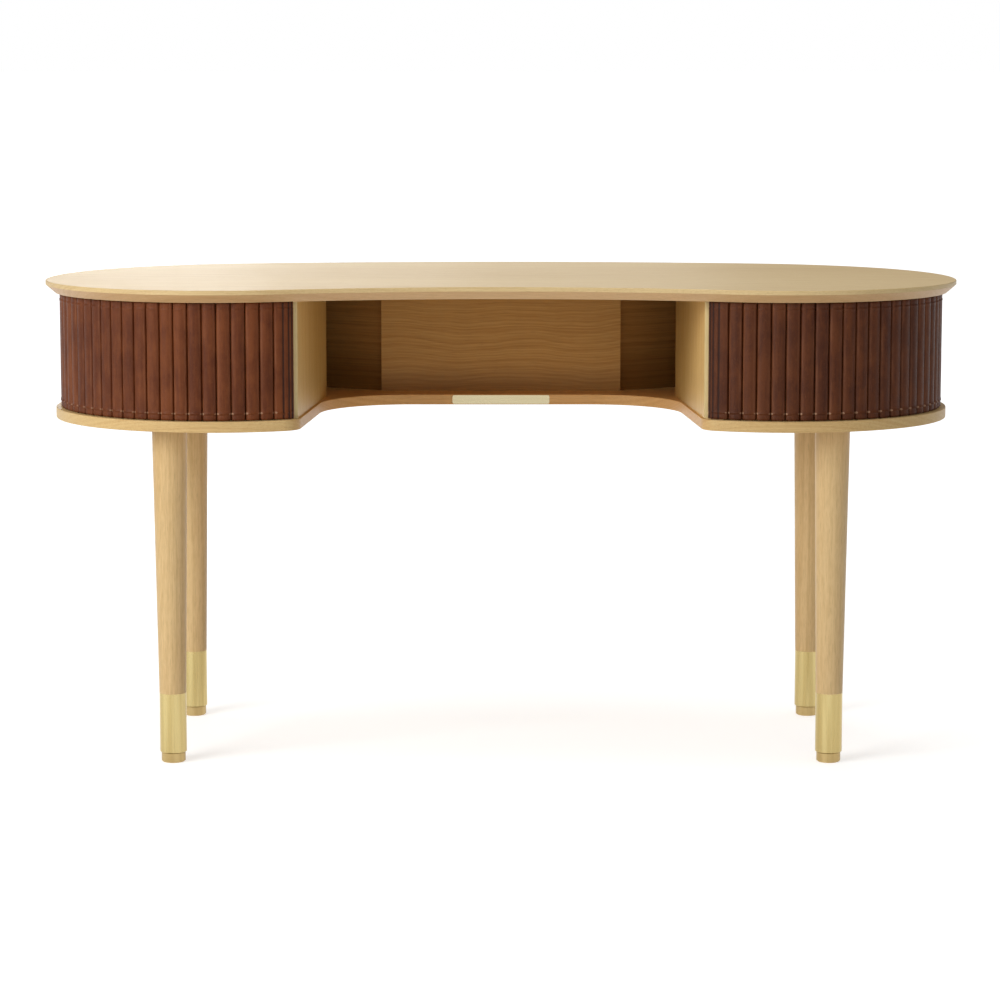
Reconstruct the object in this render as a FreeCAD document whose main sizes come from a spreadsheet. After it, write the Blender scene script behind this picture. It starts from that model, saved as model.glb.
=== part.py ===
"""Kidney shaped writing desk with two leather tambour pedestals.

Millimetres. The origin is on the floor under the middle of the desk, +Z is up,
+X runs to the sitter's right and +Y away from the sitter.
"""
import FreeCAD, Part
import math
import os
import Sketcher

V = FreeCAD.Vector
doc = FreeCAD.newDocument("tambour_desk")

# Driving sizes, in millimetres, degrees and counts
SIZES = {
    "desk_width": 1480,
    "desk_depth": 700,
    "desk_height": 765,
    "front_hollow": 80,
    "back_crown": 37,
    "rear_swell": 91,
    "top_thick": 20,
    "top_band": 7,
    "bevel_run": 15,
    "top_ease": 1.5,
    "top_overhang": 22,
    "storey_height": 186,
    "shelf_thick": 17,
    "shelf_ledge": 8,
    "shelf_ease": 1,
    "knee_back_set": 266,
    "knee_round": 150,
    "nose_round": 40,
    "divider_thick": 18,
    "divider_angle": 4.73,
    "divider_shy": 25.5,
    "divider_reveal": 3,
    "divider_ledge": 4,
    "niche_width": 89,
    "panel_thick": 18,
    "panel_setback": 62,
    "wall_thick": 10,
    "wall_angle": 29,
    "wall_step": 8,
    "back_thick": 8,
    "back_ledge": 3,
    "back_clear": 2.5,
    "liner_thick": 6,
    "liner_gap": 5,
    "liner_start_angle": 80,
    "liner_end_angle": 212,
    "closed_angle": 29.8,
    "lead_angle": 7.6,
    "pitch_angle": 5,
    "lap_angle": 4.5,
    "slat_gap": 0.6,
    "slat_thick": 12,
    "slat_round": 5,
    "slat_crown": 17,
    "lead_crown": 55,
    "leather_thick": 1.2,
    "glue_line": 0.1,
    "canvas_thick": 0.8,
    "tongue_thick": 6,
    "tongue_inset": 3,
    "tongue_shoulder": 4,
    "travel_angle": 95.5,
    "run_clear": 1,
    "groove_depth": 8,
    "groove_clear": 0.8,
    "margin_angle": 1.5,
    "lift_clear": 1.5,
    "seat_clear": 0.3,
    "edge_clear": 2,
    "glide_thick": 1,
    "stop_angle": 2,
    "leg_outset": 72.5,
    "leg_front_set": 112,
    "leg_back_set": 204,
    "leg_top_dia": 56,
    "leg_end_dia": 43,
    "ferrule_length": 96,
    "ferrule_wall": 2.2,
    "ferrule_ease": 0.8,
    "fit_clear": 0.05,
    "foot_dia": 38.6,
    "foot_height": 16,
    "foot_ease": 2,
    "stem_dia": 10,
    "stem_length": 30,
    "stem_room": 0.5,
    "insert_dia": 16,
    "insert_length": 24,
    "bolt_dia": 8,
    "bolt_in_leg": 32,
    "nut_dia": 12,
    "nut_skin": 1,
    "plate_width": 163,
    "plate_margin": 1.2,
    "plate_thick": 3,
    "plate_round": 3,
    "pin_dia": 3,
    "pin_length": 12,
    "pin_inset": 21.5,
    "dowel_dia": 8,
    "dowel_in_top": 11,
    "dowel_in_board": 20,
    "fixing_inset": 60,
    "screw_dia": 4.5,
    "screw_in_board": 30,
    "head_dia": 9,
    "head_height": 4,
}

# Least volume a cut takes away, and how closely an edge keeps to a height
LEAST_CUT = 1
LEVEL_MATCH = 1e-4

sheet = doc.addObject("Spreadsheet::Sheet", "sizes")
for row, (alias, amount) in enumerate(SIZES.items(), start=1):
    sheet.set("A%d" % row, alias)
    sheet.set("B%d" % row, str(amount))
    sheet.setAlias("B%d" % row, alias)
doc.recompute()


def number(expression):
    """Value of a sheet expression, with sizes named as sizes.alias."""
    return float(sheet.evalExpression(expression))


# Levels, from the floor up
TOP_UNDER = "(sizes.desk_height - sizes.top_thick)"
SHELF_TOP = "(%s - sizes.storey_height)" % TOP_UNDER
SHELF_UNDER = "(%s - sizes.shelf_thick)" % SHELF_TOP
FERRULE_FOOT = "(sizes.foot_height + sizes.seat_clear)"
FERRULE_TOP = "(%s + sizes.ferrule_length)" % FERRULE_FOOT

# Plan of one pedestal, on the right hand side
FRONT_Y = "(-sizes.desk_depth / 2)"
END_RADIUS = "((sizes.desk_depth - sizes.back_crown - sizes.rear_swell) / 2)"
REAR_RADIUS = "(%s + sizes.rear_swell)" % END_RADIUS
TAMBOUR_RADIUS = "(%s - sizes.top_overhang)" % END_RADIUS
PEDESTAL_X = "(sizes.desk_width / 2 - %s)" % END_RADIUS
PEDESTAL_Y = "(%s + %s)" % (FRONT_Y, END_RADIUS)
REAR_X = "(sizes.desk_width / 2 - %s)" % REAR_RADIUS
SHELF_INSET = "(sizes.top_overhang - sizes.shelf_ledge)"
BACK_INSET = "(%s + sizes.back_ledge)" % SHELF_INSET
BACK_INNER = "(%s - %s - sizes.back_thick)" % (REAR_RADIUS, BACK_INSET)
KNEE_Y = "(sizes.desk_depth / 2 - sizes.knee_back_set)"
PANEL_Y = "(%s + sizes.panel_setback)" % KNEE_Y

# Tambour ring, measured from the pedestal's middle
SLAT_BACK = "(%s - sizes.slat_thick)" % TAMBOUR_RADIUS
CANVAS_FACE = "(%s - sizes.glue_line)" % SLAT_BACK
CANVAS_BACK = "(%s - sizes.canvas_thick)" % CANVAS_FACE
TONGUE_BACK = "(%s + sizes.tongue_inset)" % SLAT_BACK
TONGUE_FACE = "(%s + sizes.tongue_thick)" % TONGUE_BACK
GROOVE_BACK = "(%s - sizes.groove_clear)" % TONGUE_BACK
GROOVE_FACE = "(%s + sizes.groove_clear)" % TONGUE_FACE
LINER_FACE = "(%s - sizes.liner_gap)" % CANVAS_BACK
SLATS_START = "(sizes.lead_angle - sizes.closed_angle)"
PASSING = "(%s + sizes.back_clear)" % TAMBOUR_RADIUS
APART = "(%s - %s)" % (PEDESTAL_X, REAR_X)
PASS_RATIO = "((%s ^ 2 - %s ^ 2 - %s ^ 2) / (2 * %s * %s))" % (BACK_INNER, APART, PASSING, APART, PASSING)
BACK_START = "(90 + acos(%s) / 1 deg)" % PASS_RATIO
SLAT_COUNT = "ceil((%s + sizes.lap_angle - %s) / sizes.pitch_angle)" % (BACK_START, SLATS_START)
DOOR_TAIL = "(%s + sizes.pitch_angle * %s)" % (SLATS_START, SLAT_COUNT)
GROOVE_START = "(-sizes.closed_angle - sizes.margin_angle)"
OPEN_TAIL = "(%s + sizes.travel_angle)" % DOOR_TAIL
GROOVE_END = "(%s + sizes.margin_angle + sizes.stop_angle)" % OPEN_TAIL

# Divider, on the right hand side: its kneehole face runs from the front to the rear point
DOOR_EDGE = "(%s * sin(sizes.closed_angle))" % TAMBOUR_RADIUS
DIVIDER_X = "(%s - %s - sizes.divider_reveal)" % (PEDESTAL_X, DOOR_EDGE)
DIVIDER_Y = "(%s - %s * cos(sizes.closed_angle) + sizes.edge_clear)" % (PEDESTAL_Y, SLAT_BACK)
DIVIDER_LENGTH = "(%s - sizes.divider_shy - %s)" % (KNEE_Y, DIVIDER_Y)
DIVIDER_REAR_X = "(%s - %s * tan(sizes.divider_angle))" % (DIVIDER_X, DIVIDER_LENGTH)
PANEL_HALF = "(%s - sizes.niche_width)" % DIVIDER_REAR_X

# Legs and small fittings
LEG_X = "(%s + sizes.leg_outset)" % PEDESTAL_X
LEG_FRONT_Y = "(%s + sizes.leg_front_set)" % FRONT_Y
LEG_REAR_Y = "(sizes.desk_depth / 2 - sizes.leg_back_set)"
NUT_DEPTH = "(sizes.shelf_thick - sizes.groove_depth - sizes.nut_skin)"
PLATE_HEIGHT = "(sizes.shelf_thick - 2 * sizes.plate_margin)"
PIN_X = "(sizes.plate_width / 2 - sizes.pin_inset)"

SIDES = {"left": -1, "right": 1}
ROWS = {"front": LEG_FRONT_Y, "rear": LEG_REAR_Y}
sub_parts = []


def signed(side, expression):
    """Expression for an X place on the given side."""
    return "%d * %s" % (SIDES[side], expression)


def plane_of(body, role):
    for feature in body.Origin.OriginFeatures:
        if feature.Role == role:
            return feature


def new_body(label, x="0", y="0", z="0", turn=None):
    """A sub-part whose place is bound to the sheet."""
    body = doc.addObject("PartDesign::Body", label)
    body.Label = label
    angle = 0 if turn is None else number(turn)
    rotation = FreeCAD.Rotation(V(0, 0, 1), angle)
    body.Placement = FreeCAD.Placement(V(number(x), number(y), number(z)), rotation)
    for axis, expression in zip("xyz", (x, y, z)):
        body.setExpression("Placement.Base." + axis, expression)
    if turn is not None:
        body.setExpression("Placement.Rotation.Angle", "(%s) * 1 deg" % turn)
    sub_parts.append(body)
    return body


class Outline:
    """A sketch on one of a body's own planes, with each dimension bound to the sheet."""

    def __init__(self, body, name, plane="XY_Plane", x="0", y="0", z="0"):
        self.sketch = body.newObject("Sketcher::SketchObject", name)
        self.sketch.AttachmentSupport = [(plane_of(body, plane), "")]
        self.sketch.MapMode = "FlatFace"
        offset = V(number(x), number(y), number(z))
        self.sketch.AttachmentOffset = FreeCAD.Placement(offset, FreeCAD.Rotation())
        for axis, expression in zip("xyz", (x, y, z)):
            self.sketch.setExpression("AttachmentOffset.Base." + axis, expression)

    def line(self, start, end):
        return self.sketch.addGeometry(Part.LineSegment(V(*start, 0), V(*end, 0)))

    def arc(self, centre, radius, start, end):
        """Arc through increasing angles, from start to end in degrees."""
        circle = Part.Circle(V(*centre, 0), V(0, 0, 1), radius)
        return self.sketch.addGeometry(Part.ArcOfCircle(circle, math.radians(start), math.radians(end)))

    def guide_point(self, x, y):
        """Construction point at a bound place."""
        index = self.sketch.addGeometry(Part.Point(V(number(x), number(y), 0)), True)
        self.place(index, 1, x, y)
        return index

    def rule(self, *words):
        return self.sketch.addConstraint(Sketcher.Constraint(*words))

    def bind(self, expression, *words):
        """A dimension whose value follows the sheet."""
        index = self.rule(*words, number(expression))
        self.sketch.setExpression("Constraints[%d]" % index, expression)

    def bind_angle(self, expression, line):
        index = self.rule("Angle", line, math.radians(number(expression)))
        self.sketch.setExpression("Constraints[%d]" % index, "(%s) * 1 deg" % expression)

    def place(self, geometry, end, x=None, y=None):
        if x is not None:
            self.bind(x, "DistanceX", -1, 1, geometry, end)
        if y is not None:
            self.bind(y, "DistanceY", -1, 1, geometry, end)

    def polygon(self, corners):
        """Closed run of straight lines through corners given as pairs of expressions."""
        points = [(number(x), number(y)) for x, y in corners]
        lines = [self.line(point, points[(k + 1) % len(points)]) for k, point in enumerate(points)]
        for k, line in enumerate(lines):
            self.rule("Coincident", line, 2, lines[(k + 1) % len(lines)], 1)
        for line, (x, y) in zip(lines, corners):
            self.place(line, 1, x, y)
        return self.sketch

    def circle(self, radius, x="0", y="0"):
        centre = V(number(x), number(y), 0)
        index = self.sketch.addGeometry(Part.Circle(centre, V(0, 0, 1), number(radius)))
        self.place(index, 3, x, y)
        self.bind(radius, "Radius", index)
        return self.sketch

    def ring_sector(self, inner, outer, start, end):
        """Part of a ring about the sketch's own origin, through increasing angles."""
        radii = [number(inner), number(outer)]
        angles = [number(start), number(end)]
        arcs = [self.arc((0, 0), radius, *angles) for radius in radii]
        for arc, radius in zip(arcs, (inner, outer)):
            self.rule("Coincident", arc, 3, -1, 1)
            self.bind(radius, "Radius", arc)
        for arc_end, angle, expression in zip((1, 2), angles, (start, end)):
            turn = math.radians(angle)
            points = [(radius * math.cos(turn), radius * math.sin(turn)) for radius in radii]
            edge = self.line(*points)
            self.rule("Coincident", edge, 1, arcs[0], arc_end)
            self.rule("Coincident", edge, 2, arcs[1], arc_end)
            self.rule("PointOnObject", -1, 1, edge)
            self.bind_angle(expression, edge)
        return self.sketch

    def rounded_rectangle(self, width, height, radius):
        """Rectangle with round corners about the sketch's own origin."""
        half_wide = number(width) / 2
        half_high = number(height) / 2
        round_off = number(radius)
        inner_x = half_wide - round_off
        inner_y = half_high - round_off
        bottom = self.line((-inner_x, -half_high), (inner_x, -half_high))
        right = self.line((half_wide, -inner_y), (half_wide, inner_y))
        upper = self.line((inner_x, half_high), (-inner_x, half_high))
        left = self.line((-half_wide, inner_y), (-half_wide, -inner_y))
        corners = [
            self.arc((inner_x, -inner_y), round_off, 270, 360),
            self.arc((inner_x, inner_y), round_off, 0, 90),
            self.arc((-inner_x, inner_y), round_off, 90, 180),
            self.arc((-inner_x, -inner_y), round_off, 180, 270),
        ]
        sides = [bottom, right, upper, left]
        for k, corner in enumerate(corners):
            self.rule("Tangent", sides[k], 2, corner, 1)
            self.rule("Tangent", corner, 2, sides[(k + 1) % len(sides)], 1)
        self.rule("Horizontal", bottom)
        self.rule("Horizontal", upper)
        self.rule("Vertical", right)
        self.rule("Vertical", left)
        for corner in corners[1:]:
            self.rule("Equal", corners[0], corner)
        self.bind(radius, "Radius", corners[0])
        self.bind("%s / 2" % width, "DistanceX", -1, 1, right, 1)
        self.bind("-%s / 2" % width, "DistanceX", -1, 1, left, 1)
        self.bind("%s / 2" % height, "DistanceY", -1, 1, upper, 1)
        self.bind("-%s / 2" % height, "DistanceY", -1, 1, bottom, 1)
        return self.sketch

    def slat_section(self, back, front, half_width, radius, crown):
        """Section of a slat: flat back across +X, face of radius crown, round corners at its front."""
        low = number(back)
        high = number(front)
        half = number(half_width)
        round_off = number(radius)
        bow = number(crown)
        corner_y = half - round_off
        corner_x = high - bow + math.sqrt((bow - round_off) ** 2 - corner_y ** 2)
        lean = math.degrees(math.asin(corner_y / (bow - round_off)))
        back_edge = self.line((low, half), (low, -half))
        near_side = self.line((low, -half), (corner_x, -half))
        near_corner = self.arc((corner_x, -corner_y), round_off, 270, 360 - lean)
        face = self.arc((high - bow, 0), bow, -lean, lean)
        far_corner = self.arc((corner_x, corner_y), round_off, lean, 90)
        far_side = self.line((corner_x, half), (low, half))
        run = [near_side, near_corner, face, far_corner, far_side]
        for first, second in zip(run, run[1:]):
            self.rule("Tangent", first, 2, second, 1)
        self.rule("Coincident", far_side, 2, back_edge, 1)
        self.rule("Coincident", back_edge, 2, near_side, 1)
        self.rule("Vertical", back_edge)
        self.rule("Horizontal", near_side)
        self.rule("Horizontal", far_side)
        self.rule("Equal", near_corner, far_corner)
        self.bind(radius, "Radius", near_corner)
        self.bind(crown, "Radius", face)
        self.place(near_side, 1, back, "-" + half_width)
        self.place(face, 3, "%s - (%s)" % (front, crown))
        self.rule("PointOnObject", face, 3, -1)
        self.place(far_side, 1, y=half_width)
        return self.sketch


def pad(body, sketch, length, name="pad"):
    feature = body.newObject("PartDesign::Pad", name)
    feature.Profile = sketch
    feature.setExpression("Length", length)
    doc.recompute()
    return feature


def pocket(body, sketch, depth, upward=False, name="pocket"):
    """Cut from the sketch along its normal when upward, otherwise against it."""
    before = body.Shape.Volume
    feature = body.newObject("PartDesign::Pocket", name)
    feature.Profile = sketch
    feature.Reversed = upward
    feature.setExpression("Length", depth)
    doc.recompute()
    if body.Shape.Volume > before - LEAST_CUT:
        raise RuntimeError("%s of %s cuts nothing" % (name, body.Label))
    return feature


def mirror_x(body, feature):
    """Join a half made on the right hand side to its mirror image."""
    both = body.newObject("PartDesign::Mirrored", "mirrored")
    both.Originals = [feature]
    both.MirrorPlane = (plane_of(body, "YZ_Plane"), [""])
    body.Tip = both
    doc.recompute()
    return both


def edges_at(shape, height):
    """Names of the edges that lie flat at a height in the body's own frame."""
    names = []
    for index, edge in enumerate(shape.Edges, start=1):
        box = edge.BoundBox
        if max(abs(box.ZMin - height), abs(box.ZMax - height)) < LEVEL_MATCH:
            names.append("Edge%d" % index)
    return names


def fillet(body, base, names, radius, name="fillet"):
    feature = body.newObject("PartDesign::Fillet", name)
    feature.Base = (base, names)
    feature.setExpression("Radius", radius)
    doc.recompute()
    return feature


def bevel(body, base, names, height, run):
    feature = body.newObject("PartDesign::Chamfer", "bevel")
    feature.Base = (base, names)
    feature.ChamferType = "Two distances"
    feature.setExpression("Size", height)
    feature.setExpression("Size2", run)
    doc.recompute()
    return feature


def turned(label, profile, x, y):
    """Round sub-part from corners given as radius and height expressions."""
    body = new_body(label, x, y)
    sketch = Outline(body, label + "_profile", "XZ_Plane").polygon(profile)
    feature = body.newObject("PartDesign::Revolution", "turning")
    feature.Profile = sketch
    feature.ReferenceAxis = (sketch, ["V_Axis"])
    feature.Angle = 360
    doc.recompute()
    return body


def rod(name, radius, height, x, y, z):
    """Upright round bar with its lower end at z."""
    bar = doc.addObject("Part::Cylinder", name)
    bar.setExpression("Radius", radius)
    bar.setExpression("Height", height)
    for axis, expression in zip("xyz", (x, y, z)):
        bar.setExpression("Placement.Base." + axis, expression)
    return bar


def group(label, members):
    """Several equal pieces that share one node."""
    compound = doc.addObject("Part::Compound", label)
    compound.Label = label
    compound.Links = members
    sub_parts.append(compound)
    return compound


def sector_angles(side, start, end):
    """Polar angles of a stretch of the ring, from pedestal angles that grow towards the desk's end."""
    if side == "right":
        return "270 + %s" % start, "270 + %s" % end
    return "270 - %s" % end, "270 - %s" % start


def fixing_places():
    """Plan places where a dowel joins a board to the top and a screw joins it to the shelf."""
    places = {"left_divider": [], "right_divider": [], "center_panel": []}
    middle = "sizes.divider_thick / 2 / cos(sizes.divider_angle)"
    for along in ("sizes.fixing_inset", "(%s - sizes.fixing_inset)" % DIVIDER_LENGTH):
        drift = "%s * tan(sizes.divider_angle)" % along
        x = "(%s - %s + %s)" % (DIVIDER_X, drift, middle)
        for side in SIDES:
            places[side + "_divider"].append((signed(side, x), "%s + %s" % (DIVIDER_Y, along)))
    for side in SIDES:
        x = signed(side, "(%s - sizes.fixing_inset)" % PANEL_HALF)
        places["center_panel"].append((x, "%s + sizes.panel_thick / 2" % PANEL_Y))
    return places


FIXINGS = fixing_places()
LEG_PLACES = [(side, row, signed(side, LEG_X), y) for side in SIDES for row, y in ROWS.items()]


def back_bend():
    """Middle of the back's wide curve on the desk's middle line, and the angle where it meets the end."""
    rear_x = number(REAR_X)
    end_y = number(PEDESTAL_Y)
    reach = number("sizes.desk_depth / 2 - %s" % REAR_RADIUS)
    centre_y = (reach ** 2 - end_y ** 2 - rear_x ** 2) / (2 * (reach - end_y))
    return centre_y, math.degrees(math.atan2(end_y - centre_y, rear_x))


def half_outline(outline, inset, first, first_end, meet_angle, front_mid):
    """Round end and back of the desk's plan, drawn inwards of the top's edge by inset.

    first is the geometry whose end meets the round end at meet_angle, and front_mid is
    the Y place of the plan's front on the desk's middle line.
    """
    end_x = number(PEDESTAL_X)
    end_y = number(PEDESTAL_Y)
    step = number(inset)
    rear_x = number(REAR_X)
    rear_radius = number(REAR_RADIUS)
    back_y = number("sizes.desk_depth / 2")
    centre_y, turn = back_bend()
    front = outline.arc((end_x, end_y), number(END_RADIUS) - step, meet_angle, 360)
    rear = outline.arc((rear_x, end_y), rear_radius - step, 0, turn)
    back = outline.arc((0, centre_y), back_y - centre_y - step, turn, 90)
    axis = outline.line((0, back_y - step), (0, front_mid))
    outline.rule("Tangent", first, first_end, front, 1)
    outline.rule("Tangent", front, 2, rear, 1)
    outline.rule("Tangent", rear, 2, back, 1)
    outline.rule("Coincident", back, 2, axis, 1)
    outline.rule("PointOnObject", axis, 1, -2)
    outline.rule("PointOnObject", axis, 2, -2)
    outline.rule("PointOnObject", back, 3, -2)
    outline.bind("%s - %s" % (END_RADIUS, inset), "Radius", front)
    outline.bind("%s - %s" % (REAR_RADIUS, inset), "Radius", rear)
    outline.place(front, 3, PEDESTAL_X, PEDESTAL_Y)
    outline.rule("Horizontal", front, 3, rear, 3)
    outline.place(axis, 1, y="sizes.desk_depth / 2 - %s" % inset)
    return axis


def groove(body, side, z, upward):
    """Track for the tambour's tongues."""
    angles = sector_angles(side, GROOVE_START, GROOVE_END)
    outline = Outline(body, side + "_groove_outline", x=signed(side, PEDESTAL_X), y=PEDESTAL_Y, z=z)
    sketch = outline.ring_sector(GROOVE_BACK, GROOVE_FACE, *angles)
    return pocket(body, sketch, "sizes.groove_depth", upward, side + "_groove")


def make_top():
    body = new_body("desk_top", z=TOP_UNDER)
    outline = Outline(body, "top_outline")
    hollow = number("sizes.front_hollow")
    end_x = number(PEDESTAL_X)
    reach = (end_x ** 2 + hollow ** 2) / (2 * hollow)
    radius = reach - number(END_RADIUS)
    front_mid = number(FRONT_Y) + hollow
    centre_y = front_mid - radius
    meet = math.degrees(math.atan2(number(PEDESTAL_Y) - centre_y, end_x))
    front = outline.arc((0, centre_y), radius, meet, 90)
    axis = half_outline(outline, "0", front, 1, meet + 180, front_mid)
    outline.rule("Coincident", axis, 2, front, 2)
    outline.rule("PointOnObject", front, 3, -2)
    outline.place(axis, 2, y="%s + sizes.front_hollow" % FRONT_Y)
    whole = mirror_x(body, pad(body, outline.sketch, "sizes.top_thick"))
    rim = bevel(body, whole, edges_at(whole.Shape, 0), "sizes.top_thick - sizes.top_band", "sizes.bevel_run")
    fillet(body, rim, edges_at(rim.Shape, number("sizes.top_thick")), "sizes.top_ease")
    for side in SIDES:
        groove(body, side, "0", True)
    holes = Outline(body, "dowel_holes_outline")
    for places in FIXINGS.values():
        for x, y in places:
            holes.circle("sizes.dowel_dia / 2 + sizes.fit_clear", x, y)
    pocket(body, holes.sketch, "sizes.dowel_in_top", True, "dowel_holes")


def kneehole(outline):
    """Front of the shelf on the right hand side, from the desk's middle to the round nose."""
    splay = math.radians(number("sizes.divider_angle"))
    back_way = V(-math.sin(splay), math.cos(splay), 0)
    inward = V(math.cos(splay), math.sin(splay), 0)
    ledge = number("sizes.divider_ledge")
    face = V(number(DIVIDER_X), number(DIVIDER_Y), 0) - inward * ledge
    pedestal = V(number(PEDESTAL_X), number(PEDESTAL_Y), 0)
    shelf_radius = number("%s + sizes.shelf_ledge" % TAMBOUR_RADIUS)
    nose = number("sizes.nose_round")
    knee = number("sizes.knee_round")
    knee_y = number(KNEE_Y)
    across = nose - (pedestal - face).dot(inward)
    along = math.sqrt((shelf_radius - nose) ** 2 - across ** 2)
    nose_centre = pedestal + inward * across - back_way * along
    nose_foot = nose_centre - inward * nose
    knee_line = face - inward * knee
    knee_centre = knee_line + back_way * ((knee_y - knee - knee_line.y) / back_way.y)
    knee_foot = knee_centre + inward * knee
    side_angle = math.degrees(splay)
    to_nose = nose_centre - pedestal
    meet_angle = math.degrees(math.atan2(to_nose.y, to_nose.x)) + 360
    recess = outline.line((0, knee_y), (knee_centre.x, knee_y))
    corner = outline.arc((knee_centre.x, knee_centre.y), knee, side_angle, 90)
    side_edge = outline.line((knee_foot.x, knee_foot.y), (nose_foot.x, nose_foot.y))
    nose_arc = outline.arc((nose_centre.x, nose_centre.y), nose, side_angle + 180, meet_angle)
    outline.rule("Tangent", recess, 2, corner, 2)
    outline.rule("Tangent", corner, 1, side_edge, 1)
    outline.rule("Tangent", side_edge, 2, nose_arc, 1)
    outline.rule("Horizontal", recess)
    outline.place(recess, 1, y=KNEE_Y)
    outline.bind("sizes.knee_round", "Radius", corner)
    outline.bind("sizes.nose_round", "Radius", nose_arc)
    ledge_x = "%s - sizes.divider_ledge * cos(sizes.divider_angle)" % DIVIDER_X
    ledge_y = "%s - sizes.divider_ledge * sin(sizes.divider_angle)" % DIVIDER_Y
    outline.rule("PointOnObject", outline.guide_point(ledge_x, ledge_y), 1, side_edge)
    outline.bind_angle("sizes.divider_angle - 90", side_edge)
    return recess, nose_arc, meet_angle


def make_shelf():
    body = new_body("lower_shelf", z=SHELF_UNDER)
    outline = Outline(body, "shelf_outline")
    recess, nose_arc, meet_angle = kneehole(outline)
    axis = half_outline(outline, SHELF_INSET, nose_arc, 2, meet_angle, number(KNEE_Y))
    outline.rule("Coincident", axis, 2, recess, 1)
    whole = mirror_x(body, pad(body, outline.sketch, "sizes.shelf_thick"))
    faces = edges_at(whole.Shape, 0) + edges_at(whole.Shape, number("sizes.shelf_thick"))
    fillet(body, whole, faces, "sizes.shelf_ease")
    for side in SIDES:
        groove(body, side, "sizes.shelf_thick", False)
    mid_height = "sizes.shelf_thick / 2"
    recess_face = Outline(body, "plate_recess_outline", "XZ_Plane", y=mid_height, z="-" + KNEE_Y)
    width = "(sizes.plate_width + 2 * sizes.glue_line)"
    height = "(%s + 2 * sizes.glue_line)" % PLATE_HEIGHT
    recess_face.rounded_rectangle(width, height, "sizes.plate_round + sizes.glue_line")
    pocket(body, recess_face.sketch, "sizes.plate_thick", False, "plate_recess")
    pin_depth = "-(%s + sizes.plate_thick)" % KNEE_Y
    pin_holes = Outline(body, "pin_holes_outline", "XZ_Plane", y=mid_height, z=pin_depth)
    for side in SIDES:
        pin_holes.circle("sizes.pin_dia / 2 + sizes.fit_clear", signed(side, PIN_X))
    pocket(body, pin_holes.sketch, "sizes.pin_length", False, "pin_holes")
    nut_holes = Outline(body, "nut_holes_outline")
    for side, row, x, y in LEG_PLACES:
        nut_holes.circle("sizes.nut_dia / 2 + sizes.fit_clear", x, y)
    pocket(body, nut_holes.sketch, NUT_DEPTH, True, "nut_holes")
    screw_holes = Outline(body, "screw_holes_outline")
    head_holes = Outline(body, "head_holes_outline")
    for places in FIXINGS.values():
        for x, y in places:
            screw_holes.circle("sizes.screw_dia / 2 + sizes.fit_clear", x, y)
            head_holes.circle("sizes.head_dia / 2 + sizes.fit_clear", x, y)
    pocket(body, screw_holes.sketch, "sizes.shelf_thick", True, "screw_holes")
    pocket(body, head_holes.sketch, "sizes.head_height", True, "head_holes")


def fixing_holes(body, places):
    """Dowel holes in a board's upper edge and screw holes in its lower edge."""
    dowels = Outline(body, "dowel_holes_outline", z="sizes.storey_height")
    screws = Outline(body, "screw_holes_outline")
    for x, y in places:
        dowels.circle("sizes.dowel_dia / 2 + sizes.fit_clear", x, y)
        screws.circle("sizes.screw_dia / 2 + sizes.fit_clear", x, y)
    pocket(body, dowels.sketch, "sizes.dowel_in_board", False, "dowel_holes")
    pocket(body, screws.sketch, "sizes.screw_in_board", True, "screw_holes")


def make_divider(side):
    body = new_body(side + "_divider", z=SHELF_TOP)
    across = "sizes.divider_thick / cos(sizes.divider_angle)"
    rear_y = "%s + %s" % (DIVIDER_Y, DIVIDER_LENGTH)
    corners = [
        (signed(side, DIVIDER_X), DIVIDER_Y),
        (signed(side, "(%s + %s)" % (DIVIDER_X, across)), DIVIDER_Y),
        (signed(side, "(%s + %s)" % (DIVIDER_REAR_X, across)), rear_y),
        (signed(side, DIVIDER_REAR_X), rear_y),
    ]
    pad(body, Outline(body, side + "_divider_outline").polygon(corners), "sizes.storey_height")
    fixing_holes(body, FIXINGS[side + "_divider"])


def make_center_panel():
    body = new_body("center_panel", z=SHELF_TOP)
    left = "-" + PANEL_HALF
    rear = "%s + sizes.panel_thick" % PANEL_Y
    corners = [(left, PANEL_Y), (PANEL_HALF, PANEL_Y), (PANEL_HALF, rear), (left, rear)]
    pad(body, Outline(body, "panel_outline").polygon(corners), "sizes.storey_height")
    fixing_holes(body, FIXINGS["center_panel"])


def make_rear_wall(side):
    """Straight wall that slants back from behind the center panel to the back panel."""
    body = new_body(side + "_rear_wall", z=SHELF_TOP)
    start_x = PANEL_HALF
    start_y = "(%s + sizes.wall_step)" % PANEL_Y
    way_x = "cos(sizes.wall_angle)"
    way_y = "sin(sizes.wall_angle)"
    limit = "(%s - sizes.wall_thick)" % BACK_INNER
    from_x = "(%s - %s)" % (start_x, REAR_X)
    from_y = "(%s - %s)" % (start_y, PEDESTAL_Y)
    half_way = "(%s * %s + %s * %s)" % (from_x, way_x, from_y, way_y)
    apart = "(%s ^ 2 + %s ^ 2 - %s ^ 2)" % (from_x, from_y, limit)
    length = "(sqrt(%s ^ 2 - %s) - %s)" % (half_way, apart, half_way)
    end_x = "(%s + %s * %s)" % (start_x, length, way_x)
    end_y = "(%s + %s * %s)" % (start_y, length, way_y)
    behind_x = "(%s - sizes.wall_thick * %s)" % (end_x, way_y)
    behind_y = "%s + sizes.wall_thick * %s" % (end_y, way_x)
    corners = [
        (signed(side, start_x), start_y),
        (signed(side, end_x), end_y),
        (signed(side, behind_x), behind_y),
        (signed(side, start_x), "%s + sizes.wall_thick / %s" % (start_y, way_x)),
    ]
    pad(body, Outline(body, side + "_wall_outline").polygon(corners), "sizes.storey_height")


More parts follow.
